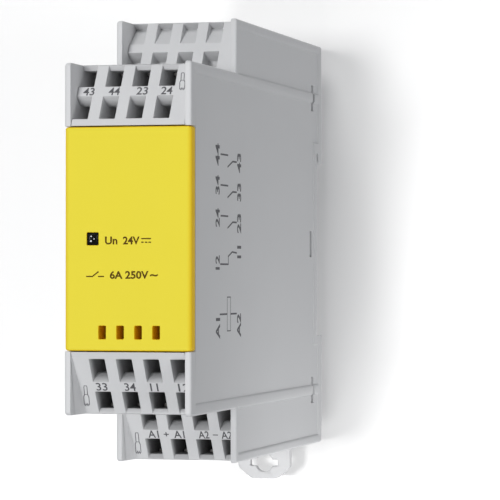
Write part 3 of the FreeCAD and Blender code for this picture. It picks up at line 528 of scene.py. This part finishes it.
def round_and_shade(piece, edge, segments=2):
    """Round the sharp edges of a closed shape and shade it smoothly across them."""
    sharp = math.radians(50)
    creased = math.radians(58)
    apply_modifier(piece, "BEVEL", width=edge, segments=segments, limit_method="ANGLE",
                   angle_limit=sharp, use_clamp_overlap=False, loop_slide=False,
                   miter_outer="MITER_ARC")
    bpy.ops.object.shade_smooth_by_angle(angle=creased)
    apply_modifier(piece, "WEIGHTED_NORMAL", keep_sharp=True, weight=80)


def moulding(node, name, material, edge):
    """A copy of a solid with the small rounds of a moulded part along its edges."""
    pick(frame["nodes"][node])
    bpy.ops.object.duplicate()
    piece = bpy.context.object
    bpy.ops.object.parent_clear(type="CLEAR_KEEP_TRANSFORM")
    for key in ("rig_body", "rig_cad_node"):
        del piece[key]
    flat = math.radians(1)
    any_shape = math.radians(180)
    open_mesh(piece)
    bpy.ops.mesh.remove_doubles(threshold=TOUCHING)
    bpy.ops.mesh.tris_convert_to_quads(face_threshold=flat, shape_threshold=any_shape)
    close_mesh()
    bpy.ops.mesh.customdata_custom_splitnormals_clear()
    round_and_shade(piece, edge)
    return settle(piece, name, material, BODY_OF[node], node)


def plane_at(origin, right, up):
    """The turn from a flat drawing, rightwards and upwards, to a face of the module."""
    right = Vector(right).normalized()
    up = Vector(up).normalized()
    turn = Matrix((right, up, right.cross(up))).transposed()
    return Matrix.Translation(origin) @ turn.to_4x4()


def front_plane():
    """The face of the front plate, drawn in x and z."""
    return plane_at((0.0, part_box("front_cover")[0].y, 0.0), (1, 0, 0), (0, 0, 1))


def side_plane(turned):
    """The floor of the side wall's framed panel, drawn in y and z, or with words running upwards."""
    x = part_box("side_cover")[1].x - bpy.context.scene.relay_marks.side_recess
    if turned:
        return plane_at((x, 0.0, 0.0), (0, 0, 1), (0, -1, 0))
    return plane_at((x, 0.0, 0.0), (0, 1, 0), (0, 0, 1))


class SlopingFace:
    """The sloping front of a terminal block, drawn in x and by its drop from the outer edge."""

    # How far a corner may lie from the block's outer or inner edge and still belong to it, in millimetres
    EDGE_REACH = 0.01
    # Where painted shade begins on the chamber walls behind the face, and over what depth it deepens, in
    # millimetres
    PAINTED_SHADE_FROM = 0.3
    PAINTED_SHADE_BY = 3.0
    # Brightness of the painted shade left deep in the upper and in the lower chambers
    PAINTED_SHADE_ABOVE = 0.9
    PAINTED_SHADE_BELOW = 0.45
    # The hollow round: its share of the flange, its millimetres along the block and its facets
    FLANGE_SHARE = 0.85
    ROUND_WIDTH = 0.6
    ROUND_STEPS = 8
    ROUND_CREASE = math.radians(40)

    def __init__(self, node):
        low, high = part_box(node)
        self.sign = 1 if low.z + high.z > 0 else -1
        outer = high.z if self.sign > 0 else low.z
        inner = low.z if self.sign > 0 else high.z
        points = [vertex.co for vertex in frame["nodes"][node].data.vertices]
        reach = self.EDGE_REACH * MM
        outer_y = min(point.y for point in points if abs(point.z - outer) < reach)
        inner_y = min(point.y for point in points if abs(point.z - inner) < reach)
        rise = Vector((0.0, outer_y - inner_y, outer - inner)) * self.sign
        self.stretch = rise.length / abs(rise.z)
        self.lean = rise.y / rise.z
        self.plane = plane_at((0.0, outer_y, outer), (1, 0, 0), rise)
        self.run = rise.length
        self.flange = abs(rise.y) / self.stretch
        self.margin = high.x if self.sign > 0 else low.x
        self.painted_shade_darkest = self.PAINTED_SHADE_ABOVE if self.sign > 0 else self.PAINTED_SHADE_BELOW

    def sunk(self, finish):
        """From 0 on the sloping face to 1 deep in a chamber behind it: the mask of the painted chamber
        shade.
        """
        place = finish.place()
        y = finish.node("ShaderNodeSeparateXYZ", {}, {0: place}, "Y")
        z = finish.node("ShaderNodeSeparateXYZ", {}, {0: place}, "Z")
        depth = y - self.plane.translation.y - (z - self.plane.translation.z) * self.lean
        share = (depth - self.PAINTED_SHADE_FROM * MM) * (1 / (self.PAINTED_SHADE_BY * MM))
        return finish.node("ShaderNodeClamp", {}, {"Value": share})

    def spot(self, x, drop):
        """Flat place of a point that lies this far across and below the outer edge."""
        return Vector((x, -self.sign * drop * self.stretch, 0.0))

    def root_round(self):
        """The hollow round between the solid end of the block and the flange beside it.

        It starts as a quarter hollow in a unit square, runs to a point and is then laid on the face, so that
        it grows with the flange.
        """
        unit_touching = 0.001
        bpy.ops.object.select_all(action="DESELECT")
        bpy.ops.mesh.primitive_plane_add(size=1.0, location=(0.5, 0.5, 0.0))
        piece = bpy.context.object
        bpy.ops.object.transform_apply(location=True, rotation=True, scale=True)
        open_mesh(piece)
        select_points(piece, lambda point: point.x + point.y > 1.5)
        bpy.ops.mesh.delete(type="VERT")
        select_points(piece, lambda point: point.x > 0.5)
        bpy.ops.mesh.spin(steps=self.ROUND_STEPS, angle=math.radians(90), center=(1, 1, 0), axis=(0, 0, 1))
        bpy.ops.mesh.select_all(action="SELECT")
        bpy.ops.mesh.remove_doubles(threshold=unit_touching)
        bpy.ops.mesh.select_all(action="SELECT")
        bpy.ops.mesh.edge_face_add()
        bpy.ops.mesh.extrude_region_move(TRANSFORM_OT_translate={"value": (0.0, 0.0, 1.0)})
        bpy.ops.transform.resize(value=(0.0, 0.0, 1.0), center_override=(0.0, 0.0, 1.0))
        bpy.ops.mesh.remove_doubles(threshold=unit_touching)
        close_mesh()
        inward = -self.sign
        turn = Matrix(((inward, 0, 0, 0), (0, 0, inward, 0), (0, 1, 0, 0), (0, 0, 0, 1)))
        size = Matrix.Diagonal((self.ROUND_WIDTH * MM, self.FLANGE_SHARE * self.flange, self.run, 1.0))
        lay_on(piece, self.plane @ Matrix.Translation((self.margin, 0.0, 0.0)) @ turn @ size)
        open_mesh(piece)
        bpy.ops.mesh.bisect(plane_co=self.plane.translation, plane_no=(0, 0, self.sign), use_fill=True,
                            clear_outer=True, threshold=TOUCHING)
        bpy.ops.mesh.select_all(action="SELECT")
        bpy.ops.mesh.normals_make_consistent(inside=False)
        close_mesh()
        bpy.ops.object.shade_smooth_by_angle(angle=self.ROUND_CREASE)
        return piece


def lay_on(piece, plane):
    """Move a flat drawing to its face and keep the place in its mesh."""
    pick(piece)
    piece.matrix_world = plane
    bpy.ops.object.transform_apply(location=True, rotation=True, scale=True)


def lettering(words, plane, centre, height, width=None, weight=0.0):
    """Printed words, with their middle, height and width given."""
    bpy.ops.object.select_all(action="DESELECT")
    bpy.ops.object.text_add()
    label = bpy.context.object
    label.data.body = words
    label.data.resolution_u = 3
    label.data.offset = weight
    label.data.extrude = bpy.context.scene.relay_marks.ink / 2
    bpy.ops.object.convert(target="MESH")
    label = bpy.context.object
    xs = [vertex.co.x for vertex in label.data.vertices]
    ys = [vertex.co.y for vertex in label.data.vertices]
    tall = height / (max(ys) - min(ys))
    wide = width / (max(xs) - min(xs)) if width else tall
    middle = Vector(((max(xs) + min(xs)) / 2, (max(ys) + min(ys)) / 2, -label.dimensions.z / 2))
    place = Matrix.Translation((centre[0], centre[1], 0.0)) @ Matrix.Diagonal((wide, tall, 1.0, 1.0))
    lay_on(label, plane @ place @ Matrix.Translation(-middle))
    return label


def pen_lines(strokes, plane, width):
    """Printed lines of one width, each drawn through its points; a closed one ends where it began."""
    ink = bpy.context.scene.relay_marks.ink
    bpy.ops.object.select_all(action="DESELECT")
    bpy.ops.mesh.primitive_plane_add(size=width)
    drawing = bpy.context.object
    open_mesh(drawing)
    bpy.ops.mesh.delete(type="VERT")
    for stroke in strokes:
        points = [Vector((point[0], point[1], 0.0)) for point in stroke]
        bpy.ops.mesh.primitive_plane_add(size=width)
        bpy.ops.mesh.merge(type="CENTER")
        bpy.ops.transform.translate(value=points[0])
        for start, end in zip(points, points[1:]):
            bpy.ops.mesh.extrude_vertices_move(TRANSFORM_OT_translate={"value": end - start})
    bpy.ops.mesh.select_all(action="SELECT")
    bpy.ops.mesh.remove_doubles(threshold=TOUCHING)
    bpy.ops.mesh.select_all(action="SELECT")
    bpy.ops.mesh.extrude_edges_move(TRANSFORM_OT_translate={"value": (0.0, 0.0, ink)})
    close_mesh()
    apply_modifier(drawing, "SOLIDIFY", thickness=width, offset=0.0, use_even_offset=True)
    open_mesh(drawing)
    bpy.ops.mesh.normals_make_consistent(inside=False)
    close_mesh()
    lay_on(drawing, plane)
    return drawing


def joined(pieces):
    """Several pieces made one, under the first one's name."""
    pick(pieces[0])
    for piece in pieces[1:]:
        piece.select_set(True)
    bpy.ops.object.join()
    return pieces[0]


def in_mm(lines):
    """Lines through points given in millimetres."""
    return [[(x * MM, y * MM) for x, y in line] for line in lines]


class RELAY_OT_enclosure(bpy.types.Operator):
    """Round the edges of the tray and the side wall and give them their grey plastic."""

    bl_idname = "relay.enclosure"
    bl_label = "Tray and side wall"

    def execute(self, context):
        case = context.scene.relay_case
        plastic = moulded_plastic("housing_plastic", tuple(case.grey), gloss=0.62, grain=0.16)
        moulding("housing_body", "case_tray", plastic, case.wall_edge)
        moulding("side_cover", "case_side_wall", plastic, case.wall_edge)
        return {"FINISHED"}


class RELAY_OT_terminal_blocks(bpy.types.Operator):
    """Round the edges of the four terminal blocks and the corner beside each solid end."""

    bl_idname = "relay.terminal_blocks"
    bl_label = "Terminal blocks"

    def execute(self, context):
        case = context.scene.relay_case
        for tier in ("top_front", "top_rear", "bottom_front", "bottom_rear"):
            node = tier + "_terminal_block"
            face = SlopingFace(node)
            grey = tuple(case.grey)
            # The plastic carries painted shade on the chamber walls deep behind the face
            plastic = moulded_plastic(tier + "_plastic", grey, gloss=0.58, grain=0.12, face=face)
            block = moulding(node, tier + "_terminals", plastic, case.block_edge)
            corner = face.root_round()
            corner.data.materials.append(plastic)
            joined([block, corner])
        return {"FINISHED"}


class RELAY_OT_front_plate(bpy.types.Operator):
    """Round the edges of the yellow front plate."""

    bl_idname = "relay.front_plate"
    bl_label = "Front plate"

    def execute(self, context):
        case = context.scene.relay_case
        edge_painted_shade = tuple(case.yellow_painted_shade)
        plastic = moulded_plastic("plate_plastic", tuple(case.yellow), gloss=0.62, grain=0.12, edge_painted_shade=edge_painted_shade)
        moulding("front_cover", "front_plate", plastic, case.plate_edge)
        return {"FINISHED"}


class RELAY_OT_indicator(bpy.types.Operator):
    """Model the polished lens that stands in the indicator window."""

    bl_idname = "relay.indicator"
    bl_label = "Indicator lens"

    # Painted glints on the lens: across and above the middle of the face, and radius, in millimetres
    PAINTED_GLINTS = ((-0.30, 0.44, 0.13), (-0.32, -0.38, 0.16), (0.22, 0.0, 0.11))
    SEGMENTS = 3

    def execute(self, context):
        case = context.scene.relay_case
        low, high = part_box("light_guide")
        bpy.ops.object.select_all(action="DESELECT")
        bpy.ops.mesh.primitive_cube_add(size=1.0, location=(low + high) / 2, scale=high - low)
        lens = bpy.context.object
        bpy.ops.object.transform_apply(location=True, rotation=True, scale=True)
        open_mesh(lens)
        select_faces(lens, lambda face: face.normal.y < -0.9)
        bpy.ops.mesh.inset(thickness=2 * case.lens_edge, depth=0.0)
        bpy.ops.mesh.inset(thickness=case.lens_edge, depth=-case.lens_edge / 3)
        close_mesh()
        round_and_shade(lens, case.lens_edge, self.SEGMENTS)
        face = Vector(((low.x + high.x) / 2, low.y, (low.z + high.z) / 2))
        painted_glints = [(tuple(face + Vector((x, 0.0, z)) * MM), radius * MM) for x, z, radius in self.PAINTED_GLINTS]
        settle(lens, "indicator_lens", smoked_lens("lens_painted_glints", tuple(case.lens), painted_glints), MODULE,
               "light_guide")
        return {"FINISHED"}


class RELAY_OT_rail_latch(bpy.types.Operator):
    """Round the edges of the rail latch."""

    bl_idname = "relay.rail_latch"
    bl_label = "Rail latch"

    def execute(self, context):
        case = context.scene.relay_case
        plastic = moulded_plastic("latch_plastic", tuple(case.latch_grey), gloss=0.42, grain=0.10)
        moulding("rail_clip", "rail_latch", plastic, case.latch_edge)
        return {"FINISHED"}


class RELAY_OT_latch_spring(bpy.types.Operator):
    """Round the spring that returns the rail latch and give it a mesh of its own."""

    bl_idname = "relay.latch_spring"
    bl_label = "Latch spring"

    NODE = "rail_clip_spring"
    JOINT = "rail_clip_slide"

    def execute(self, context):
        case = context.scene.relay_case
        low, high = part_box(self.NODE)
        steel = rolled_metal("latch_spring_steel", *METALS["spring_steel"])
        spring = moulding(self.NODE, "latch_spring", steel, case.spring_edge)
        joints = {joint["name"]: joint for joint in frame["record"]["behaviour"]["joints"]}
        travel = joints[self.JOINT]["range_m"][1]
        1 - travel / (high.z - low.z)
        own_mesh(spring)
        return {"FINISHED"}


class RELAY_OT_inner_works(bpy.types.Operator):
    """Give the clamps, the board and the relay inside their finishes."""

    bl_idname = "relay.inner_works"
    bl_label = "Clamps, board and relay"

    def execute(self, context):
        finishes = {}
        for name, node in frame["nodes"].items():
            if node.hide_render:
                continue
            slot = SLOT_OF[name]
            if slot not in finishes:
                finishes[slot] = inner_finish(slot)
            node.data.materials.clear()
            node.data.materials.append(finishes[slot])
        return {"FINISHED"}


class RELAY_OT_terminal_numbers(bpy.types.Operator):
    """Print the numbers beside the wire openings."""

    bl_idname = "relay.terminal_numbers"
    bl_label = "Terminal numbers"

    # Words and their place across the block, then their drop from its outer edge, in millimetres
    TIERS = {
        "top_front": (("43", -8.05), ("44", -3.5), ("23", 1.5), ("24", 5.88)),
        "bottom_front": (("33", -5.74), ("34", -0.66), ("11", 3.64), ("12", 8.9)),
        "bottom_rear": (("A1", -5.37), ("+", -2.93), ("A1", -0.5), ("A2", 4.13), ("-", 6.3), ("A2", 8.4)),
    }
    DROP = 4.8
    WEIGHT = 0.012
    # Width and height, in millimetres, of what differs from the other numbers
    OWN_SIZES = {"+": (0.95, 0.95), "-": (0.95, 0.2), "11": (1.42, 1.62)}

    def execute(self, context):
        marks = context.scene.relay_marks
        ink = burnt_ink("terminal_ink", tuple(marks.grey_ink))
        for tier, labels in self.TIERS.items():
            face = SlopingFace(tier + "_terminal_block")
            printed = []
            for words, x in labels:
                width = marks.number_width
                height = marks.number_height
                if words in self.OWN_SIZES:
                    width, height = (side * MM for side in self.OWN_SIZES[words])
                spot = face.spot(x * MM, self.DROP * MM)
                printed.append(lettering(words, face.plane, spot, height, width, self.WEIGHT))
            settle(joined(printed), tier + "_numbers", ink)
        return {"FINISHED"}


class RELAY_OT_wire_marks(bpy.types.Operator):
    """Print the small outlines of a wire end beside the openings."""

    bl_idname = "relay.wire_marks"
    bl_label = "Wire marks"

    # Shares of the mark's width and height
    OUTLINE = (
        (0.20, 0.56), (0.20, 0.93), (0.28, 1.0), (0.72, 1.0), (0.80, 0.93), (0.80, 0.56), (1.0, 0.44),
        (1.0, 0.07), (0.83, 0.0), (0.67, 0.10), (0.50, 0.0), (0.33, 0.10), (0.17, 0.0), (0.0, 0.07),
        (0.0, 0.44), (0.20, 0.56),
    )
    COLLAR = ((0.20, 0.56), (0.80, 0.56))
    PALER = 1.6
    # How far the top leans away from the foot, in millimetres
    LEAN = 0.38
    # Left and right, then the drops of the top and the foot from the outer edge, in millimetres
    PLACES = {
        "top_front": (7.9, 8.8, 1.7, 4.7),
        "bottom_front": (-9.32, -8.4, 4.95, 1.45),
        "bottom_rear": (-9.15, -8.2, 5.0, 1.1),
    }

    def execute(self, context):
        marks = context.scene.relay_marks
        ink = burnt_ink("icon_ink", shade(tuple(marks.grey_ink), self.PALER))
        for tier, (left, right, top, foot) in self.PLACES.items():
            face = SlopingFace(tier + "_terminal_block")
            strokes = []
            for line in (self.OUTLINE, self.COLLAR):
                stroke = []
                for u, v in line:
                    x = left + u * (right - left) - face.sign * self.LEAN * (v - 0.5)
                    stroke.append(face.spot(x * MM, (foot + v * (top - foot)) * MM))
                strokes.append(stroke)
            settle(pen_lines(strokes, face.plane, marks.icon_line), tier + "_wire_mark", ink)
        return {"FINISHED"}


class RELAY_OT_front_marks(bpy.types.Operator):
    """Print the ratings, the contact symbol and the direct-current mark on the front plate."""

    bl_idname = "relay.front_marks"
    bl_label = "Front plate marks"

    WEIGHT = 0.030
    # Words with their left, right, lower and upper edge on the plate, in millimetres
    WORDS = (
        ("Un", -3.97, -1.76, -0.98, 0.39),
        ("24V", -0.77, 2.16, -0.98, 0.39),
        ("6A", -3.11, -0.85, -6.83, -5.47),
        ("250V", -0.38, 3.75, -6.83, -5.47),
        ("~", 4.0, 5.4, -6.45, -5.98),
    )
    CONTACT = (((-7.34, -6.41), (-6.19, -6.41), (-5.12, -5.58)), ((-5.18, -6.41), (-4.16, -6.41)))
    DIRECT = (((2.45, 0.02), (4.2, 0.02)), ((2.45, -0.60), (2.9, -0.60)), ((3.1, -0.60), (3.55, -0.60)),
              ((3.75, -0.60), (4.2, -0.60)))

    def execute(self, context):
        marks = context.scene.relay_marks
        ink = burnt_ink("plate_ink", tuple(marks.brown_ink))
        plane = front_plane()
        printed = []
        for words, left, right, low, high in self.WORDS:
            centre = ((left + right) / 2 * MM, (low + high) / 2 * MM)
            height = (high - low) * MM
            width = (right - left) * MM
            printed.append(lettering(words, plane, centre, height, width, self.WEIGHT))
        settle(joined(printed), "rating_marks", ink)
        for name, lines in (("contact_mark", self.CONTACT), ("direct_mark", self.DIRECT)):
            settle(pen_lines(in_mm(lines), plane, marks.symbol_line), name, ink)
        return {"FINISHED"}


class RELAY_OT_wiring_diagram(bpy.types.Operator):
    """Print the contact and coil diagram on the side wall."""

    bl_idname = "relay.wiring_diagram"
    bl_label = "Wiring diagram"

    WEIGHT = 0.026
    # Words with their place in depth, and their lower and upper end, in millimetres
    NUMBERS = (
        ("44", -75.3, 13.0, 16.9), ("43", -60.35, 12.2, 15.75), ("34", -75.3, 7.96, 11.35),
        ("33", -60.35, 7.1, 10.35), ("24", -75.3, 2.25, 5.54), ("23", -60.35, 1.33, 4.85),
        ("12", -75.3, -5.25, -2.72), ("11", -60.35, -3.17, -0.92), ("A1", -75.03, -17.4, -13.7),
        ("A2", -60.45, -17.4, -13.1),
    )
    # Lines through points in depth and height, in millimetres
    OPEN = (((-73.25, 15.1), (-68.1, 15.1)), ((-62.1, 14.1), (-64.9, 14.1), (-68.5, 13.0)))
    OPEN_STEP = -5.42
    OPEN_COUNT = 3
    CLOSED = (((-73.5, -4.26), (-67.97, -4.26), (-67.97, -2.79)),
              ((-62.07, -2.22), (-65.3, -2.06), (-68.17, -2.93)))
    COIL = (((-68.7, -10.1), (-66.4, -10.1), (-66.4, -16.1), (-68.7, -16.1), (-68.7, -10.1)),)
    COIL_LEADS = (((-73.8, -13.1), (-68.7, -13.1)), ((-66.4, -13.1), (-62.1, -13.1)))

    def execute(self, context):
        marks = context.scene.relay_marks
        ink = burnt_ink("diagram_ink", tuple(marks.grey_ink))
        turned = side_plane(True)
        flat = side_plane(False)
        printed = []
        for words, y, low, high in self.NUMBERS:
            centre = ((low + high) / 2 * MM, -y * MM)
            width = (high - low) * MM
            printed.append(lettering(words, turned, centre, marks.diagram_number, width, self.WEIGHT))
        settle(joined(printed), "diagram_numbers", ink)
        first = pen_lines(in_mm(self.OPEN), flat, marks.diagram_line)
        settle(first, "open_contact_mark_1", ink)
        for number in range(1, self.OPEN_COUNT):
            pick(first)
            bpy.ops.object.duplicate()
            copy = bpy.context.object
            bpy.ops.transform.translate(value=(0.0, 0.0, number * self.OPEN_STEP * MM))
            bpy.ops.object.transform_apply(location=True, rotation=True, scale=True)
            settle(copy, "open_contact_mark_%d" % (number + 1), ink)
        settle(pen_lines(in_mm(self.CLOSED), flat, marks.diagram_line), "closed_contact_mark", ink)
        coil = pen_lines(in_mm(self.COIL), flat, marks.coil_line)
        leads = pen_lines(in_mm(self.COIL_LEADS), flat, marks.diagram_line)
        settle(joined([coil, leads]), "coil_mark", ink)
        return {"FINISHED"}


class RELAY_OT_stage(bpy.types.Operator):
    """Set up the floor, the wall behind, the light and the camera."""

    bl_idname = "relay.stage"
    bl_label = "Stage"

    # Metres, apart from the width of the camera's sensor in millimetres
    SHEET_SIZE = 8.0
    NEAREST = 0.01
    FARTHEST = 20.0
    SENSOR = 36.0

    def execute(self, context):
        stage = context.scene.relay_stage
        low, high = SOLID_BOX
        self.sheet("floor", (0.0, 0.0, low[2]), 0.0, stage, stage.floor_glow)
        self.sheet("wall", (0.0, high[1] + stage.wall_gap, 0.0), math.radians(90), stage)
        self.room(context, stage)
        self.lamp("upper_lamp", stage.light_side, stage.upper_rise, stage.upper_power, stage.outer_spread)
        self.lamp("middle_lamp", stage.light_side, 0.0, stage.middle_power, stage.middle_spread)
        self.lamp("lower_lamp", stage.light_side, stage.lower_rise, stage.lower_power, stage.outer_spread)
        self.lamp("right_lamp", -stage.right_side, stage.right_rise, stage.right_power, stage.outer_spread)
        self.lamp("rear_lamp", stage.rear_side, stage.rear_rise, stage.rear_power, stage.outer_spread)
        self.side_panel(stage)
        self.camera(context, stage)
        context.scene.view_settings.view_transform = "Standard"
        return {"FINISHED"}

    def sheet(self, name, place, tilt, stage, glow=0.0):
        """A wide pale sheet that only the camera sees, and only from its front."""
        bpy.ops.object.select_all(action="DESELECT")
        bpy.ops.mesh.primitive_plane_add(size=self.SHEET_SIZE, location=place, rotation=(tilt, 0.0, 0.0))
        sheet = bpy.context.object
        open_mesh(sheet)
        bpy.ops.mesh.subdivide(number_cuts=3)
        close_mesh()
        bpy.ops.object.transform_apply(location=True, rotation=True, scale=True)
        sheet.name = name
        finish = Finish(name + "_paint")
        cloud = finish.noise(3.0, 2.0)
        colour = tuple(stage.backdrop)
        clouded = finish.mix(cloud, colour, shade(colour, 1.01))
        matt = finish.node("ShaderNodeBsdfDiffuse", {}, {"Color": clouded})
        lit = finish.node("ShaderNodeEmission", {}, {"Strength": glow})
        paint = finish.node("ShaderNodeAddShader", {}, {0: matt, 1: lit})
        clear = finish.node("ShaderNodeBsdfTransparent")
        back = finish.node("ShaderNodeNewGeometry", output="Backfacing")
        seen = finish.node("ShaderNodeLightPath", output="Is Camera Ray")
        shown = seen * (1 - back)
        mixed = finish.node("ShaderNodeMixShader", {}, {0: shown, 1: clear, 2: paint})
        sheet.data.materials.append(finish.cover(mixed))

    def room(self, context, stage):
        """Even light from all round; the camera and reflections see white."""
        world = bpy.data.worlds.new("room")
        context.scene.world = world
        world.use_nodes = True
        air = NodeSheet(world.node_tree)
        seen = air.node("ShaderNodeLightPath", output="Is Camera Ray")
        for kind in ("Is Glossy Ray", "Is Transmission Ray"):
            mirrored = air.node("ShaderNodeLightPath", output=kind)
            seen = air.node("ShaderNodeMath", {"operation": "MAXIMUM"}, {0: seen, 1: mirrored})
        colour = air.mix(seen, tuple(stage.room), (1.0, 1.0, 1.0))
        light = air.node("ShaderNodeBackground", {}, {"Color": colour})
        air.node("ShaderNodeOutputWorld", {}, {"Surface": light}, None)

    def side_panel(self, stage):
        """A small soft panel low on the right, which lifts the rear of the side wall."""
        low, high = SOLID_BOX
        target = Vector((high[0], high[1], low[2]))
        place = target + Vector(stage.panel_place)
        bpy.ops.object.light_add(type="AREA", location=place)
        panel = bpy.context.object
        panel.name = "side_panel"
        panel.rotation_euler = (target - place).to_track_quat("-Z", "Y").to_euler()
        panel.data.size = stage.panel_size
        panel.data.energy = stage.panel_power

    def lamp(self, name, left, rise, power, spread):
        """One soft lamp far away, turned from the front to the left and raised by these angles."""
        bpy.ops.object.light_add(type="SUN", rotation=(math.radians(90) - rise, 0.0, -left))
        lamp = bpy.context.object
        lamp.name = name
        lamp.data.energy = power
        lamp.data.angle = spread

    def camera(self, context, stage):
        """The camera, in front of the module and to its right."""
        bpy.ops.object.camera_add(location=stage.eye, rotation=stage.turn)
        camera = bpy.context.object
        camera.data.sensor_width = self.SENSOR
        camera.data.lens = stage.focal
        camera.data.clip_start = self.NEAREST
        camera.data.clip_end = self.FARTHEST
        context.scene.camera = camera


OPERATORS = (
    RELAY_OT_enclosure,
    RELAY_OT_terminal_blocks,
    RELAY_OT_front_plate,
    RELAY_OT_indicator,
    RELAY_OT_rail_latch,
    RELAY_OT_latch_spring,
    RELAY_OT_inner_works,
    RELAY_OT_terminal_numbers,
    RELAY_OT_wire_marks,
    RELAY_OT_front_marks,
    RELAY_OT_wiring_diagram,
    RELAY_OT_stage,
)


class RELAY_PT_dressing(bpy.types.Panel):
    """Lists the steps that dress the relay module."""

    bl_idname = "RELAY_PT_dressing"
    bl_label = "Relay module"
    bl_space_type = "VIEW_3D"
    bl_region_type = "UI"
    bl_category = "Relay"

    def draw(self, context):
        for group in (context.scene.relay_case, context.scene.relay_marks, context.scene.relay_stage):
            box = self.layout.box()
            for key in group.__annotations__:
                box.prop(group, key)
        for operator in OPERATORS:
            self.layout.operator(operator.bl_idname)


CLASSES = (RELAY_PG_case, RELAY_PG_marks, RELAY_PG_stage, *OPERATORS, RELAY_PT_dressing)


def register():
    """Make the settings, the steps and the panel known."""
    for entry in CLASSES:
        bpy.utils.register_class(entry)
    bpy.types.Scene.relay_case = PointerProperty(type=RELAY_PG_case)
    bpy.types.Scene.relay_marks = PointerProperty(type=RELAY_PG_marks)
    bpy.types.Scene.relay_stage = PointerProperty(type=RELAY_PG_stage)


def unregister():
    """Take the settings, the steps and the panel away."""
    for name in ("relay_case", "relay_marks", "relay_stage"):
        delattr(bpy.types.Scene, name)
    for entry in reversed(CLASSES):
        bpy.utils.unregister_class(entry)


def main():
    """Run every step in order."""
    register()
    for operator in OPERATORS:
        group, step = operator.bl_idname.split(".")
        getattr(getattr(bpy.ops, group), step)()


if __name__ == "__main__":
    main()
